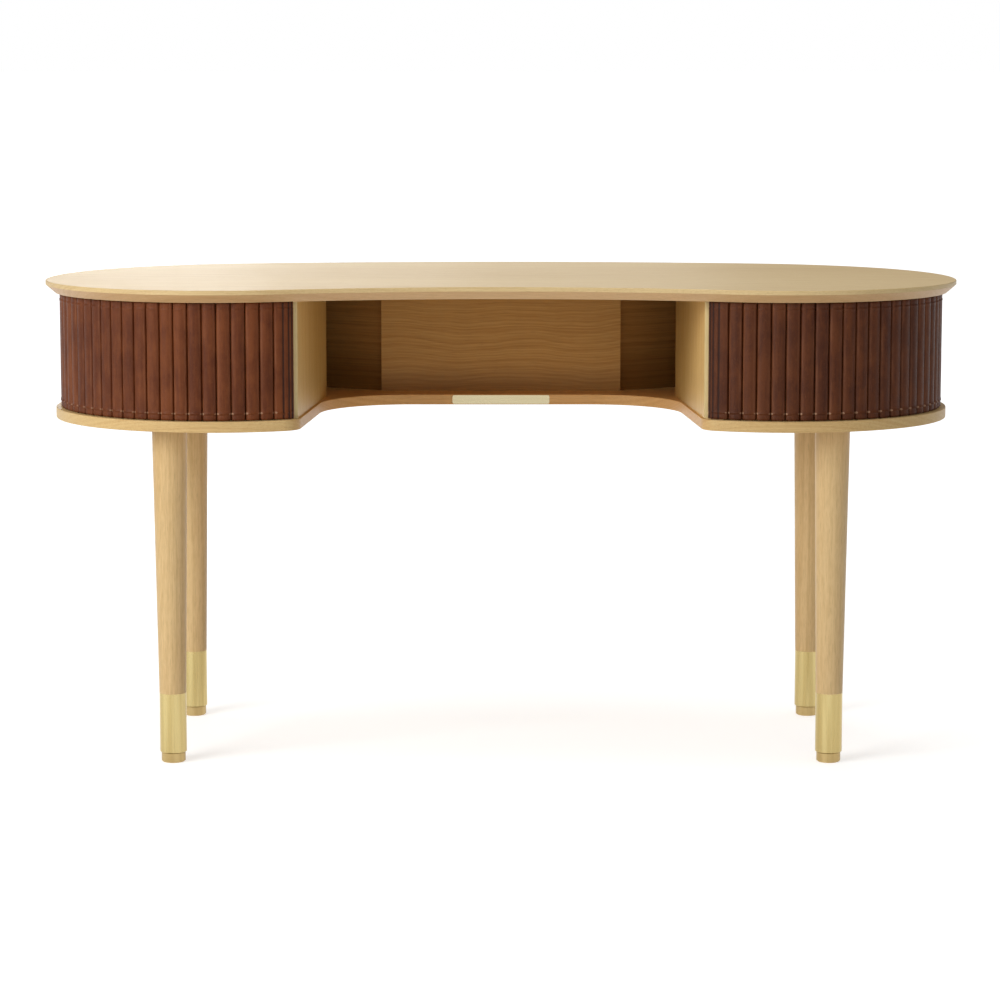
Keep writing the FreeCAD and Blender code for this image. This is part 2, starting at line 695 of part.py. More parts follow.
def make_back_panel():
    body = new_body("back_panel", z=SHELF_TOP)
    outline = Outline(body, "back_outline")
    rear = V(number(REAR_X), number(PEDESTAL_Y), 0)
    pedestal = V(number(PEDESTAL_X), number(PEDESTAL_Y), 0)
    back_y = number("sizes.desk_depth / 2")
    rear_radius = number(REAR_RADIUS)
    centre_y, turn = back_bend()
    start = math.radians(270 + number(BACK_START))
    way = V(math.cos(start), math.sin(start), 0)
    offset = pedestal - rear
    insets = {"outer": BACK_INSET, "inner": "(%s + sizes.back_thick)" % BACK_INSET}
    arcs = {}
    ends = {}
    for name, inset in insets.items():
        step = number(inset)
        radius = rear_radius - step
        half_way = offset.dot(way)
        length = math.sqrt(half_way ** 2 - offset.dot(offset) + radius ** 2) - half_way
        ends[name] = pedestal + way * length
        spoke = ends[name] - rear
        first = math.degrees(math.atan2(spoke.y, spoke.x))
        end_arc = outline.arc((rear.x, rear.y), radius, first, turn)
        back_arc = outline.arc((0, centre_y), back_y - centre_y - step, turn, 90)
        outline.rule("Tangent", end_arc, 2, back_arc, 1)
        outline.bind("%s - %s" % (REAR_RADIUS, inset), "Radius", end_arc)
        arcs[name] = (end_arc, back_arc)
    middle = outline.line((0, back_y - number(insets["outer"])), (0, back_y - number(insets["inner"])))
    end_edge = outline.line((ends["inner"].x, ends["inner"].y), (ends["outer"].x, ends["outer"].y))
    outline.rule("Coincident", arcs["outer"][1], 2, middle, 1)
    outline.rule("Coincident", arcs["inner"][1], 2, middle, 2)
    outline.rule("Coincident", arcs["inner"][0], 1, end_edge, 1)
    outline.rule("Coincident", arcs["outer"][0], 1, end_edge, 2)
    outline.rule("Coincident", arcs["inner"][0], 3, arcs["outer"][0], 3)
    outline.rule("Coincident", arcs["inner"][1], 3, arcs["outer"][1], 3)
    outline.place(arcs["outer"][0], 3, REAR_X, PEDESTAL_Y)
    outline.rule("PointOnObject", arcs["outer"][1], 3, -2)
    outline.rule("PointOnObject", middle, 1, -2)
    outline.rule("PointOnObject", middle, 2, -2)
    outline.place(middle, 1, y="sizes.desk_depth / 2 - %s" % insets["outer"])
    outline.rule("PointOnObject", outline.guide_point(PEDESTAL_X, PEDESTAL_Y), 1, end_edge)
    outline.bind_angle("270 + %s" % BACK_START, end_edge)
    mirror_x(body, pad(body, outline.sketch, "sizes.storey_height"))


def ring_wall(label, side, inner, outer, angles, z, height):
    """Upright wall bent round a pedestal's middle."""
    body = new_body(label, signed(side, PEDESTAL_X), PEDESTAL_Y, z)
    sketch = Outline(body, label + "_outline").ring_sector(inner, outer, *sector_angles(side, *angles))
    pad(body, sketch, height)
    return body


def make_liner(side):
    inner = "%s - sizes.liner_thick" % LINER_FACE
    angles = ("sizes.liner_start_angle", "sizes.liner_end_angle")
    ring_wall(side + "_liner", side, inner, LINER_FACE, angles, SHELF_TOP, "sizes.storey_height")


def make_glide_strip(side):
    floor = "(%s - sizes.groove_depth)" % SHELF_TOP
    angles = (GROOVE_START, "(%s + sizes.margin_angle)" % OPEN_TAIL)
    ring_wall(side + "_glide_strip", side, GROOVE_BACK, GROOVE_FACE, angles, floor, "sizes.glide_thick")


def make_track_stop(side):
    """Block that closes the far end of the lower groove."""
    floor = "(%s - sizes.groove_depth)" % SHELF_TOP
    angles = ("(%s + sizes.margin_angle)" % OPEN_TAIL, GROOVE_END)
    label = side + "_track_stop"
    ring_wall(label, side, GROOVE_BACK, GROOVE_FACE, angles, floor, "sizes.groove_depth")


def slat_width(angle):
    """Width of a slat that fills an angle of the ring, measured at its back, without the gap."""
    return "(2 * %s * tan((%s) / 2) - sizes.slat_gap)" % (SLAT_BACK, angle)


def slat_turn(side, angle):
    """Turn about the pedestal's middle that brings a slat drawn along +X to a pedestal angle."""
    if side == "right":
        return "270 + %s" % angle
    return "270 - %s" % angle


def repeat_slats(body, side):
    """Copies of the first slat round the ring."""
    pattern = body.newObject("PartDesign::PolarPattern", "slat_pattern")
    pattern.TransformMode = "Whole shape"
    pattern.Axis = (plane_of(body, "Z_Axis"), [""])
    pattern.Reversed = side == "left"
    pattern.setExpression("Angle", "sizes.pitch_angle * (%s - 1) * 1 deg" % SLAT_COUNT)
    pattern.setExpression("Occurrences", SLAT_COUNT)
    body.AllowCompound = True
    body.Tip = pattern
    doc.recompute()


def rectangle(x_low, x_high, half_wide):
    return [(x_low, "-" + half_wide), (x_high, "-" + half_wide), (x_high, half_wide), (x_low, half_wide)]


def slat_core(label, side, angle, middle, crown):
    """Wooden slat with a tongue at each end."""
    foot = "(%s + sizes.run_clear)" % SHELF_TOP
    body = new_body(label, signed(side, PEDESTAL_X), PEDESTAL_Y, foot, slat_turn(side, middle))
    wrap = "(sizes.leather_thick + sizes.glue_line)"
    half = "(%s / 2 - %s)" % (slat_width(angle), wrap)
    front = "(%s - %s)" % (TAMBOUR_RADIUS, wrap)
    section = Outline(body, label + "_section")
    bow = "(%s - %s)" % (crown, wrap)
    section.slat_section(SLAT_BACK, front, half, "sizes.slat_round - %s" % wrap, bow)
    pad(body, section.sketch, "sizes.storey_height - 2 * sizes.run_clear")
    cover = "(%s - %s - sizes.seat_clear)" % (front, TONGUE_FACE)
    under_face = "sqrt(%s ^ 2 - (%s - %s) ^ 2)" % (bow, bow, cover)
    tongue_half = "min(%s - sizes.tongue_shoulder; %s)" % (half, under_face)
    drop = "(sizes.groove_depth - sizes.glide_thick - sizes.seat_clear + sizes.run_clear)"
    rise = "(sizes.groove_depth - sizes.lift_clear + sizes.run_clear)"
    tongue = Outline(body, label + "_tongue_section", z="-" + drop)
    tongue.polygon(rectangle(TONGUE_BACK, TONGUE_FACE, tongue_half))
    pad(body, tongue.sketch, "%s + %s + sizes.storey_height - 2 * sizes.run_clear" % (drop, rise), "tongues")
    return body


def slat_leather(label, side, angle, middle, crown):
    """Leather wrapped over a slat's face and sides."""
    foot = "(%s + sizes.run_clear)" % SHELF_TOP
    body = new_body(label, signed(side, PEDESTAL_X), PEDESTAL_Y, foot, slat_turn(side, middle))
    height = "sizes.storey_height - 2 * sizes.run_clear"
    skin = "sizes.leather_thick"
    half = "(%s / 2)" % slat_width(angle)
    outside = Outline(body, label + "_outside")
    outside.slat_section(SLAT_BACK, TAMBOUR_RADIUS, half, "sizes.slat_round", crown)
    pad(body, outside.sketch, height)
    back = "%s - %s" % (SLAT_BACK, skin)
    front = "(%s - %s)" % (TAMBOUR_RADIUS, skin)
    inner_half = "(%s - %s)" % (half, skin)
    inside = Outline(body, label + "_inside")
    inside.slat_section(back, front, inner_half, "sizes.slat_round - %s" % skin, "%s - %s" % (crown, skin))
    pocket(body, inside.sketch, height, True, "hollow")
    return body


def make_tambour(side):
    lead_middle = "(sizes.lead_angle / 2 - sizes.closed_angle)"
    first_middle = "(%s + sizes.pitch_angle / 2)" % SLATS_START
    lead = (side, "sizes.lead_angle", lead_middle, "sizes.lead_crown")
    first = (side, "sizes.pitch_angle", first_middle, "sizes.slat_crown")
    slat_core(side + "_lead_rail", *lead)
    slat_leather(side + "_lead_leather", *lead)
    repeat_slats(slat_core(side + "_slats", *first), side)
    repeat_slats(slat_leather(side + "_slat_leather", *first), side)
    foot = "(%s + sizes.run_clear)" % SHELF_TOP
    height = "sizes.storey_height - 2 * sizes.run_clear"
    ends = ("(-sizes.closed_angle)", DOOR_TAIL)
    ring_wall(side + "_canvas", side, CANVAS_BACK, CANVAS_FACE, ends, foot, height)


def make_leg(side, row, x, y):
    """Tapered leg with a spigot for its ferrule and blind holes at both ends."""
    fit = "sizes.fit_clear"
    spigot = "(sizes.leg_end_dia / 2 - sizes.ferrule_wall - %s)" % fit
    spigot_foot = "(%s + sizes.ferrule_ease)" % FERRULE_FOOT
    insert_top = "(%s + sizes.insert_length)" % spigot_foot
    stem_top = "(sizes.foot_height + sizes.stem_length + sizes.edge_clear)"
    bolt_foot = "(%s - sizes.bolt_in_leg)" % SHELF_UNDER
    profile = [
        ("0", stem_top),
        ("sizes.stem_dia / 2 + sizes.stem_room", stem_top),
        ("sizes.stem_dia / 2 + sizes.stem_room", insert_top),
        ("sizes.insert_dia / 2 + %s" % fit, insert_top),
        ("sizes.insert_dia / 2 + %s" % fit, spigot_foot),
        (spigot, spigot_foot),
        (spigot, FERRULE_TOP),
        ("sizes.leg_end_dia / 2", FERRULE_TOP),
        ("sizes.leg_top_dia / 2", SHELF_UNDER),
        ("sizes.bolt_dia / 2 + %s" % fit, SHELF_UNDER),
        ("sizes.bolt_dia / 2 + %s" % fit, bolt_foot),
        ("0", bolt_foot),
    ]
    turned("%s_%s_leg" % (side, row), profile, x, y)


def make_ferrule(side, row, x, y):
    """Brass sleeve on the leg's spigot, with its lower rim eased."""
    outer = "sizes.leg_end_dia / 2"
    inner = "(sizes.leg_end_dia / 2 - sizes.ferrule_wall)"
    profile = [
        (inner, FERRULE_FOOT),
        (outer + " - sizes.ferrule_ease", FERRULE_FOOT),
        (outer, FERRULE_FOOT + " + sizes.ferrule_ease"),
        (outer, FERRULE_TOP),
        (inner, FERRULE_TOP),
    ]
    turned("%s_%s_ferrule" % (side, row), profile, x, y)


def make_foot(side, row, x, y):
    """Levelling foot on a threaded stem."""
    outer = "sizes.foot_dia / 2"
    stem = "sizes.stem_dia / 2"
    stem_top = "sizes.foot_height + sizes.stem_length"
    profile = [
        ("0", "0"),
        (outer + " - sizes.foot_ease", "0"),
        (outer, "sizes.foot_ease"),
        (outer, "sizes.foot_height - sizes.ferrule_ease"),
        (outer + " - sizes.ferrule_ease", "sizes.foot_height"),
        (stem, "sizes.foot_height"),
        (stem, stem_top),
        ("0", stem_top),
    ]
    turned("%s_%s_foot" % (side, row), profile, x, y)


def tube(name, outer, inner, height, x, y, z):
    """Upright sleeve with its lower end at z."""
    sleeve = doc.addObject("Part::Cut", name)
    sleeve.Base = rod(name + "_outside", outer, height, x, y, z)
    sleeve.Tool = rod(name + "_bore", inner, height, x, y, z)
    return sleeve


def make_leg_fixings():
    bolts = []
    nuts = []
    inserts = []
    bolt_foot = "%s - sizes.bolt_in_leg" % SHELF_UNDER
    bolt_length = "sizes.bolt_in_leg + %s - sizes.seat_clear" % NUT_DEPTH
    insert_foot = "%s + sizes.ferrule_ease" % FERRULE_FOOT
    insert_length = "sizes.insert_length"
    nut_bore = "sizes.bolt_dia / 2 + sizes.fit_clear"
    insert_bore = "sizes.stem_dia / 2 + sizes.fit_clear"
    for side, row, x, y in LEG_PLACES:
        place = "%s_%s" % (side, row)
        bolts.append(rod(place + "_bolt", "sizes.bolt_dia / 2", bolt_length, x, y, bolt_foot))
        nut = tube(place + "_nut", "sizes.nut_dia / 2", nut_bore, NUT_DEPTH, x, y, SHELF_UNDER)
        nuts.append(nut)
        insert_name = place + "_insert"
        insert = tube(insert_name, "sizes.insert_dia / 2", insert_bore, insert_length, x, y, insert_foot)
        inserts.append(insert)
    group("leg_bolts", bolts)
    group("leg_nuts", nuts)
    group("foot_inserts", inserts)


def make_board_fixings():
    dowels = []
    screws = []
    for board, places in FIXINGS.items():
        for count, (x, y) in enumerate(places, start=1):
            dowel_foot = "%s - sizes.dowel_in_board" % TOP_UNDER
            dowel_length = "sizes.dowel_in_board + sizes.dowel_in_top - sizes.seat_clear"
            name = "%s_%d" % (board, count)
            dowels.append(rod(name + "_dowel", "sizes.dowel_dia / 2", dowel_length, x, y, dowel_foot))
            screw = doc.addObject("Part::Fuse", name + "_screw")
            screw.Base = rod(name + "_head", "sizes.head_dia / 2", "sizes.head_height", x, y, SHELF_UNDER)
            shank = "sizes.shelf_thick + sizes.screw_in_board - sizes.seat_clear"
            screw.Tool = rod(name + "_shank", "sizes.screw_dia / 2", shank, x, y, SHELF_UNDER)
            screws.append(screw)
    group("top_dowels", dowels)
    group("shelf_screws", screws)


def make_plate():
    """Brass plate let into the middle of the shelf's front edge, with the pins behind it."""
    body = new_body("brass_plate", z="%s + sizes.shelf_thick / 2" % SHELF_UNDER)
    outline = Outline(body, "plate_outline", "XZ_Plane", z="-(%s + sizes.plate_thick)" % KNEE_Y)
    outline.rounded_rectangle("sizes.plate_width", PLATE_HEIGHT, "sizes.plate_round")
    pad(body, outline.sketch, "sizes.plate_thick")
    pins = []
    for side in SIDES:
        pin = doc.addObject("Part::Cylinder", side + "_pin")
        pin.setExpression("Radius", "sizes.pin_dia / 2")
        pin.setExpression("Height", "sizes.pin_length - sizes.seat_clear")
        pin.Placement = FreeCAD.Placement(V(0, 0, 0), FreeCAD.Rotation(V(1, 0, 0), -90))
        pin.setExpression("Placement.Base.x", signed(side, PIN_X))
        pin.setExpression("Placement.Base.y", "%s + sizes.plate_thick" % KNEE_Y)
        pin.setExpression("Placement.Base.z", "%s + sizes.shelf_thick / 2" % SHELF_UNDER)
        pins.append(pin)
    group("plate_pins", pins)


def write_parts():
    """Check the whole document, then write one file for each sub-part."""
    doc.recompute()
    for thing in doc.Objects:
        if "Invalid" in thing.State or "Error" in thing.State:
            raise RuntimeError("%s did not build" % thing.Name)
    for piece in sub_parts:
        if piece.Shape.isNull() or not piece.Shape.isValid():
            raise RuntimeError("%s has no valid shape" % piece.Label)
    os.makedirs("parts", exist_ok=True)
    for piece in sub_parts:
        piece.Shape.exportStep("parts/%s.step" % piece.Label)
        print("%-22s %3d solids %12.1f mm3" % (piece.Label, len(piece.Shape.Solids), piece.Shape.Volume))


make_top()
make_shelf()
make_center_panel()
make_back_panel()
for hand in SIDES:
    make_divider(hand)
    make_rear_wall(hand)
    make_liner(hand)
    make_glide_strip(hand)
    make_track_stop(hand)
    make_tambour(hand)
for leg_place in LEG_PLACES:
    make_leg(*leg_place)
    make_ferrule(*leg_place)
    make_foot(*leg_place)
make_leg_fixings()
make_board_fixings()
make_plate()
write_parts()
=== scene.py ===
"""Dressed model of a kidney shaped oak desk with leather tambours.

Metres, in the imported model's own frame: the floor is at Z = 0, +X runs to the sitter's
right and +Y away from the sitter.
"""
import bmesh
import bpy
import math
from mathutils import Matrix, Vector


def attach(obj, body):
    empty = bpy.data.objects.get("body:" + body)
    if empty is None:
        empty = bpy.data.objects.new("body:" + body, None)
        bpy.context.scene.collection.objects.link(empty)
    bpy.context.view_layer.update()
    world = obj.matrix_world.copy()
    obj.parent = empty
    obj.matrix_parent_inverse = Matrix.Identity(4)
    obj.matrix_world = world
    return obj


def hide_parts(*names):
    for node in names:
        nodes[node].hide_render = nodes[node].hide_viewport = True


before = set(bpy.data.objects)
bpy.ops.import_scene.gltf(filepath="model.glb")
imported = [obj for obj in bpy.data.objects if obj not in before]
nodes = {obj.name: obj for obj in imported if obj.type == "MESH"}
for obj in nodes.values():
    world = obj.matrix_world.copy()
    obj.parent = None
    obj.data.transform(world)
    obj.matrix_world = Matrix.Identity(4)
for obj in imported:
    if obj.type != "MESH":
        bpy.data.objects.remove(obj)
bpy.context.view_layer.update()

SIDES = {"left": -1, "right": 1}
LEGS = ["left_front", "right_front", "left_rear", "right_rear"]

# Tambour, in metres and degrees, as the solids have it
PEDESTAL_X = 0.454
PEDESTAL_Y = -0.064
SLAT_FOOT = 0.560
SLAT_HEIGHT = 0.184
SLAT_BACK = 0.252
SLAT_FACE = 0.264
SLAT_ROUND = 0.005
SLAT_CROWN = 0.017
LEAD_CROWN = 0.055
SLAT_GAP = 0.0006
LEATHER_THICK = 0.0012
CLOSED_ANGLE = 29.8
LEAD_ANGLE = 7.6
PITCH_ANGLE = 5.0
SLAT_COUNT = 28
CANVAS_FACE = 0.2519
CANVAS_BACK = 0.2511

# Screws up through the shelf, with their places on the right hand side
SHELF_UNDER = 0.542
SCREW_PLACES = [(0.3239, -0.2206), (0.3058, -0.0015), (0.1427, 0.155)]
SCREW_HEAD = 0.0045
SCREW_HEAD_HEIGHT = 0.004
SCREW_SHANK = 0.00225
SCREW_LENGTH = 0.0467

AXES = {"x": 0, "y": 1, "z": 2}


def tone(red, green, blue):
    """Linear colour of a tone given in the usual eight bit steps."""
    linear = []
    for step in (red, green, blue):
        part = step / 255
        linear.append(part / 12.92 if part <= 0.04045 else ((part + 0.055) / 1.055) ** 2.4)
    return (*linear, 1.0)


class Finish:
    """One surface: a shader and the nodes that feed it, all on the piece's own coordinates."""

    def __init__(self, name):
        self.material = bpy.data.materials.new(name)
        self.material.use_nodes = True
        self.tree = self.material.node_tree
        self.shader = self.tree.nodes["Principled BSDF"]

    def node(self, kind, **settings):
        made = self.tree.nodes.new("ShaderNode" + kind)
        for key, value in settings.items():
            setattr(made, key, value)
        return made

    def feed(self, socket, value):
        if isinstance(value, bpy.types.NodeSocket):
            self.tree.links.new(value, socket)
        else:
            socket.default_value = value

    def set(self, **values):
        """Shader inputs, by their names with underscores for blanks."""
        for key, value in values.items():
            self.feed(self.shader.inputs[key.replace("_", " ")], value)
        return self.material

    def coordinates(self):
        return self.node("TexCoord").outputs["Object"]

    def stretched(self, along, slow, fast, shift=(0.0, 0.0, 0.0)):
        """Coordinates that run slowly along the named axes and fast across them."""
        mapping = self.node("Mapping")
        scale = [fast, fast, fast]
        for axis in along:
            scale[AXES[axis]] = slow
        self.feed(mapping.inputs["Vector"], self.coordinates())
        self.feed(mapping.inputs["Scale"], scale)
        self.feed(mapping.inputs["Location"], shift)
        return mapping.outputs["Vector"]

    def attribute(self, name):
        """A number that the piece's own mesh carries."""
        return self.node("Attribute", attribute_name=name).outputs["Fac"]

    def noise(self, vector, scale=1.0, detail=2.0, rough=0.5):
        made = self.node("TexNoise")
        self.feed(made.inputs["Vector"], vector)
        self.feed(made.inputs["Scale"], scale)
        self.feed(made.inputs["Detail"], detail)
        self.feed(made.inputs["Roughness"], rough)
        return made.outputs["Fac"]

    def cells(self, vector, scale):
        made = self.node("TexVoronoi", feature="DISTANCE_TO_EDGE")
        self.feed(made.inputs["Vector"], vector)
        self.feed(made.inputs["Scale"], scale)
        return made.outputs["Distance"]

    def measure(self, way):
        """Distance along a direction."""
        made = self.node("VectorMath", operation="DOT_PRODUCT")
        self.feed(made.inputs[0], self.coordinates())
        self.feed(made.inputs[1], way)
        return made.outputs["Value"]

    def ladder(self, place):
        """Uneven lines that follow one another along a single measure."""
        made = self.node("TexNoise", noise_dimensions="1D")
        self.feed(made.inputs["W"], place)
        self.feed(made.inputs["Scale"], 1.0)
        self.feed(made.inputs["Detail"], 2.0)
        return made.outputs["Fac"]

    def sum(self, operation, first, second=0.0):
        made = self.node("Math", operation=operation)
        self.feed(made.inputs[0], first)
        self.feed(made.inputs[1], second)
        return made.outputs[0]

    def span(self, value, low, high, least=0.0, most=1.0):
        """Value eased from least to most while it goes from low to high."""
        made = self.node("MapRange", interpolation_type="SMOOTHSTEP")
        self.feed(made.inputs["Value"], value)
        self.feed(made.inputs["From Min"], low)
        self.feed(made.inputs["From Max"], high)
        self.feed(made.inputs["To Min"], least)
        self.feed(made.inputs["To Max"], most)
        return made.outputs["Result"]

    def mix(self, factor, low, high):
        made = self.node("Mix", data_type="RGBA")
        inputs = {socket.identifier: socket for socket in made.inputs}
        outputs = {socket.identifier: socket for socket in made.outputs}
        self.feed(inputs["Factor_Float"], factor)
        self.feed(inputs["A_Color"], low)
        self.feed(inputs["B_Color"], high)
        return outputs["Result_Color"]

    def bump(self, height, distance, strength):
        made = self.node("Bump")
        self.feed(made.inputs["Height"], height)
        self.feed(made.inputs["Distance"], distance)
        self.feed(made.inputs["Strength"], strength)
        return made.outputs["Normal"]


def upward(finish):
    return finish.measure((0.0, 0.0, 1.0))


def backward(finish):
    return finish.measure((0.0, 1.0, 0.0))


def forward(finish):
    return finish.measure((0.0, -1.0, 0.0))


def aside(finish):
    return finish.sum("ABSOLUTE", finish.measure((1.0, 0.0, 0.0)))


# Spans of a noise over which fibre, cloudy tone, broad tone, pores and gloss change
FIBRE_SPAN = (0.3, 0.75)
CLOUD_SPAN = (0.3, 0.7)
BROAD_SPAN = (0.25, 0.75)
PORE_SPAN = (0.60, 0.72)
GLOSS_SPAN = (0.2, 0.8)

# Marks of oak to the metre, along the grain and across it
DRIFT_ACROSS = 5.5
OAK_CLOUD = (0.8, 3.4)
OAK_CLOUD_SHIFT = (3.1, 1.7, 5.3)
OAK_FIBRE = (14.0, 560.0)
OAK_PORE = (46.0, 1500.0)
OAK_FLECK = (60.0, 430.0)

# Oak's growth lines, the strength of its marks and the depth of its relief in metres
LINE_SPAN = (0.30, 0.70)
FIBRE_SHARE = (-0.10, 0.25)
CLOUD_SHARE = (-0.05, 0.20)
PORE_SHADE = 0.55
PORE_SHARE = 0.30
FIBRE_RELIEF = 0.35
PORE_RELIEF = 0.8
WOOD_RELIEF = 0.0001
WOOD_RELIEF_STRENGTH = 0.5


def oak(
        name, tones, along, across, rings=70.0, wander=5.0, wave=0.9,
        figure=0.5, fleck=0.0, gloss=0.40, shine=0.25, trims=()):
    """Lacquered oak: drifting growth lines, broad cloudy tone, fine fibre and short dark pores.

    tones are a pale and a deep one, along names the axes that the grain follows, two on a board that
    bends or slants, and across is the way in which growth lines follow each other. rings is how many
    there are to the metre, wander how many rings they stray, wave how often to the metre they do so
    along the grain, and figure how strongly they show. fleck is the strength of short flecks. Each of
    the trims is a part of another tone, mostly painted shade or painted light: a measure, where the
    part ends and the board begins on it, and the part's tones.
    """
    finish = Finish(name)
    drift = finish.noise(finish.stretched(along, wave, DRIFT_ACROSS), detail=2.0, rough=0.5)
    step = finish.sum("MULTIPLY", finish.measure(across), rings)
    place = finish.sum("ADD", step, finish.sum("MULTIPLY", drift, wander))
    line = finish.span(finish.ladder(place), *LINE_SPAN)
    cloud = finish.noise(finish.stretched(along, *OAK_CLOUD, OAK_CLOUD_SHIFT), detail=2.0)
    fibre = finish.noise(finish.stretched(along, *OAK_FIBRE), detail=3.0, rough=0.6)
    pore = finish.span(finish.noise(finish.stretched(along, *OAK_PORE), detail=1.0), *PORE_SPAN)
    drawn = finish.sum("MULTIPLY", line, finish.span(cloud, *CLOUD_SPAN, figure / 2, figure))
    body = finish.sum("ADD", drawn, finish.span(fibre, *FIBRE_SPAN, *FIBRE_SHARE))
    body = finish.sum("ADD", body, finish.span(cloud, *BROAD_SPAN, *CLOUD_SHARE))
    if fleck:
        short = finish.noise(finish.stretched(along, *OAK_FLECK), detail=2.0, rough=0.6)
        body = finish.sum("ADD", body, finish.span(short, *CLOUD_SPAN, -fleck, fleck))
    base = finish.mix(body, *tones)
    for measure, ends, begins, trim_tones in trims:
        board = finish.span(measure(finish), ends, begins)
        base = finish.mix(board, finish.mix(body, *trim_tones), base)
    dark = [part * PORE_SHADE for part in tones[1][:3]] + [1.0]
    base = finish.mix(finish.sum("MULTIPLY", pore, PORE_SHARE), base, dark)
    raised = finish.sum("MULTIPLY", fibre, FIBRE_RELIEF)
    relief = finish.sum("SUBTRACT", raised, finish.sum("MULTIPLY", pore, PORE_RELIEF))
    return finish.set(
        Base_Color=base,
        Roughness=finish.span(fibre, *GLOSS_SPAN, gloss - 0.04, gloss + 0.08),
        Normal=finish.bump(relief, WOOD_RELIEF, WOOD_RELIEF_STRENGTH),
        Specular_IOR_Level=shine,
    )


# Marks of ply and slats to the metre, along the grain and across it
PLY_FIBRE = (18.0, 520.0)
PLY_CLOUD = (1.2, 9.0)
PLY_PORE = (50.0, 1500.0)
PLY_PORE_SHARE = 0.35
SLAT_FIBRE = (22.0, 700.0)


def bent_ply(name):
    """Bent plywood with an upright oak face."""
    finish = Finish(name)
    fibre = finish.noise(finish.stretched("z", *PLY_FIBRE), detail=3.0, rough=0.6)
    cloud = finish.noise(finish.stretched("z", *PLY_CLOUD), detail=3.0)
    pore = finish.span(finish.noise(finish.stretched("z", *PLY_PORE), detail=1.0), *PORE_SPAN)
    fine = finish.span(fibre, *FIBRE_SPAN, 0.0, 0.45)
    body = finish.sum("ADD", fine, finish.span(cloud, *CLOUD_SPAN, 0.0, 0.4))
    base = finish.mix(body, tone(186, 144, 90), tone(146, 104, 60))
    base = finish.mix(finish.sum("MULTIPLY", pore, PLY_PORE_SHARE), base, tone(98, 66, 36))
    return finish.set(
        Base_Color=base,
        Roughness=finish.span(fibre, *GLOSS_SPAN, 0.42, 0.55),
        Normal=finish.bump(fibre, WOOD_RELIEF, WOOD_RELIEF_STRENGTH),
    )


def slat_wood(name):
    """Plain sanded hardwood."""
    finish = Finish(name)
    fibre = finish.noise(finish.stretched("z", *SLAT_FIBRE), detail=3.0, rough=0.6)
    base = finish.mix(finish.span(fibre, *FIBRE_SPAN), tone(178, 140, 96), tone(138, 100, 62))
    return finish.set(
        Base_Color=base,
        Roughness=finish.span(fibre, *GLOSS_SPAN, 0.5, 0.65),
        Normal=finish.bump(fibre, WOOD_RELIEF, WOOD_RELIEF_STRENGTH),
    )


# Marks of hide to the metre, up the slat and across it, and how much each adds to the mottle
HIDE_CLOUD = (22.0, 30.0)
HIDE_STREAK = (14.0, 170.0)
HIDE_SPECK = (260.0, 420.0)
HIDE_PEBBLE = 1150.0
CLOUD_PART = 0.62
STREAK_PART = 0.38
OWN_PART = 0.14

# Spans of the hide's marks, with how strongly each shows at the two ends of its span
MOTTLE_SPAN = (0.34, 0.66)
PALE_SPECKS = (0.54, 0.76, 0.0, 0.20)
DARK_SPECKS = (0.24, 0.40, 0.34, 0.0)
WEAR_AND_HIGHLIGHT_STREAKS = (0.36, 0.64, 0.05, 0.34)
TUCK_HIGHLIGHT_SHOWS = (0.20, 0.85, 0.0, 0.72)
CREASE_SHADE_SHOWS = (0.10, 0.90, 0.0, 0.85)
PEBBLE_SPAN = (0.0, 0.12)

# Tones of the hide's specks, rubbed shoulders that are partly a painted highlight, tucks with a painted
# highlight and creases with painted shade, and its relief in metres
PALE_SPECK = tone(136, 86, 54)
DARK_SPECK = tone(46, 17, 7)
WEAR_AND_HIGHLIGHT_HIDE = tone(158, 104, 74)
TUCK_HIGHLIGHT_HIDE = tone(186, 146, 116)
CREASE_SHADE_HIDE = tone(38, 14, 6)
HIDE_RELIEF = 0.00008
HIDE_SHINE = 0.20


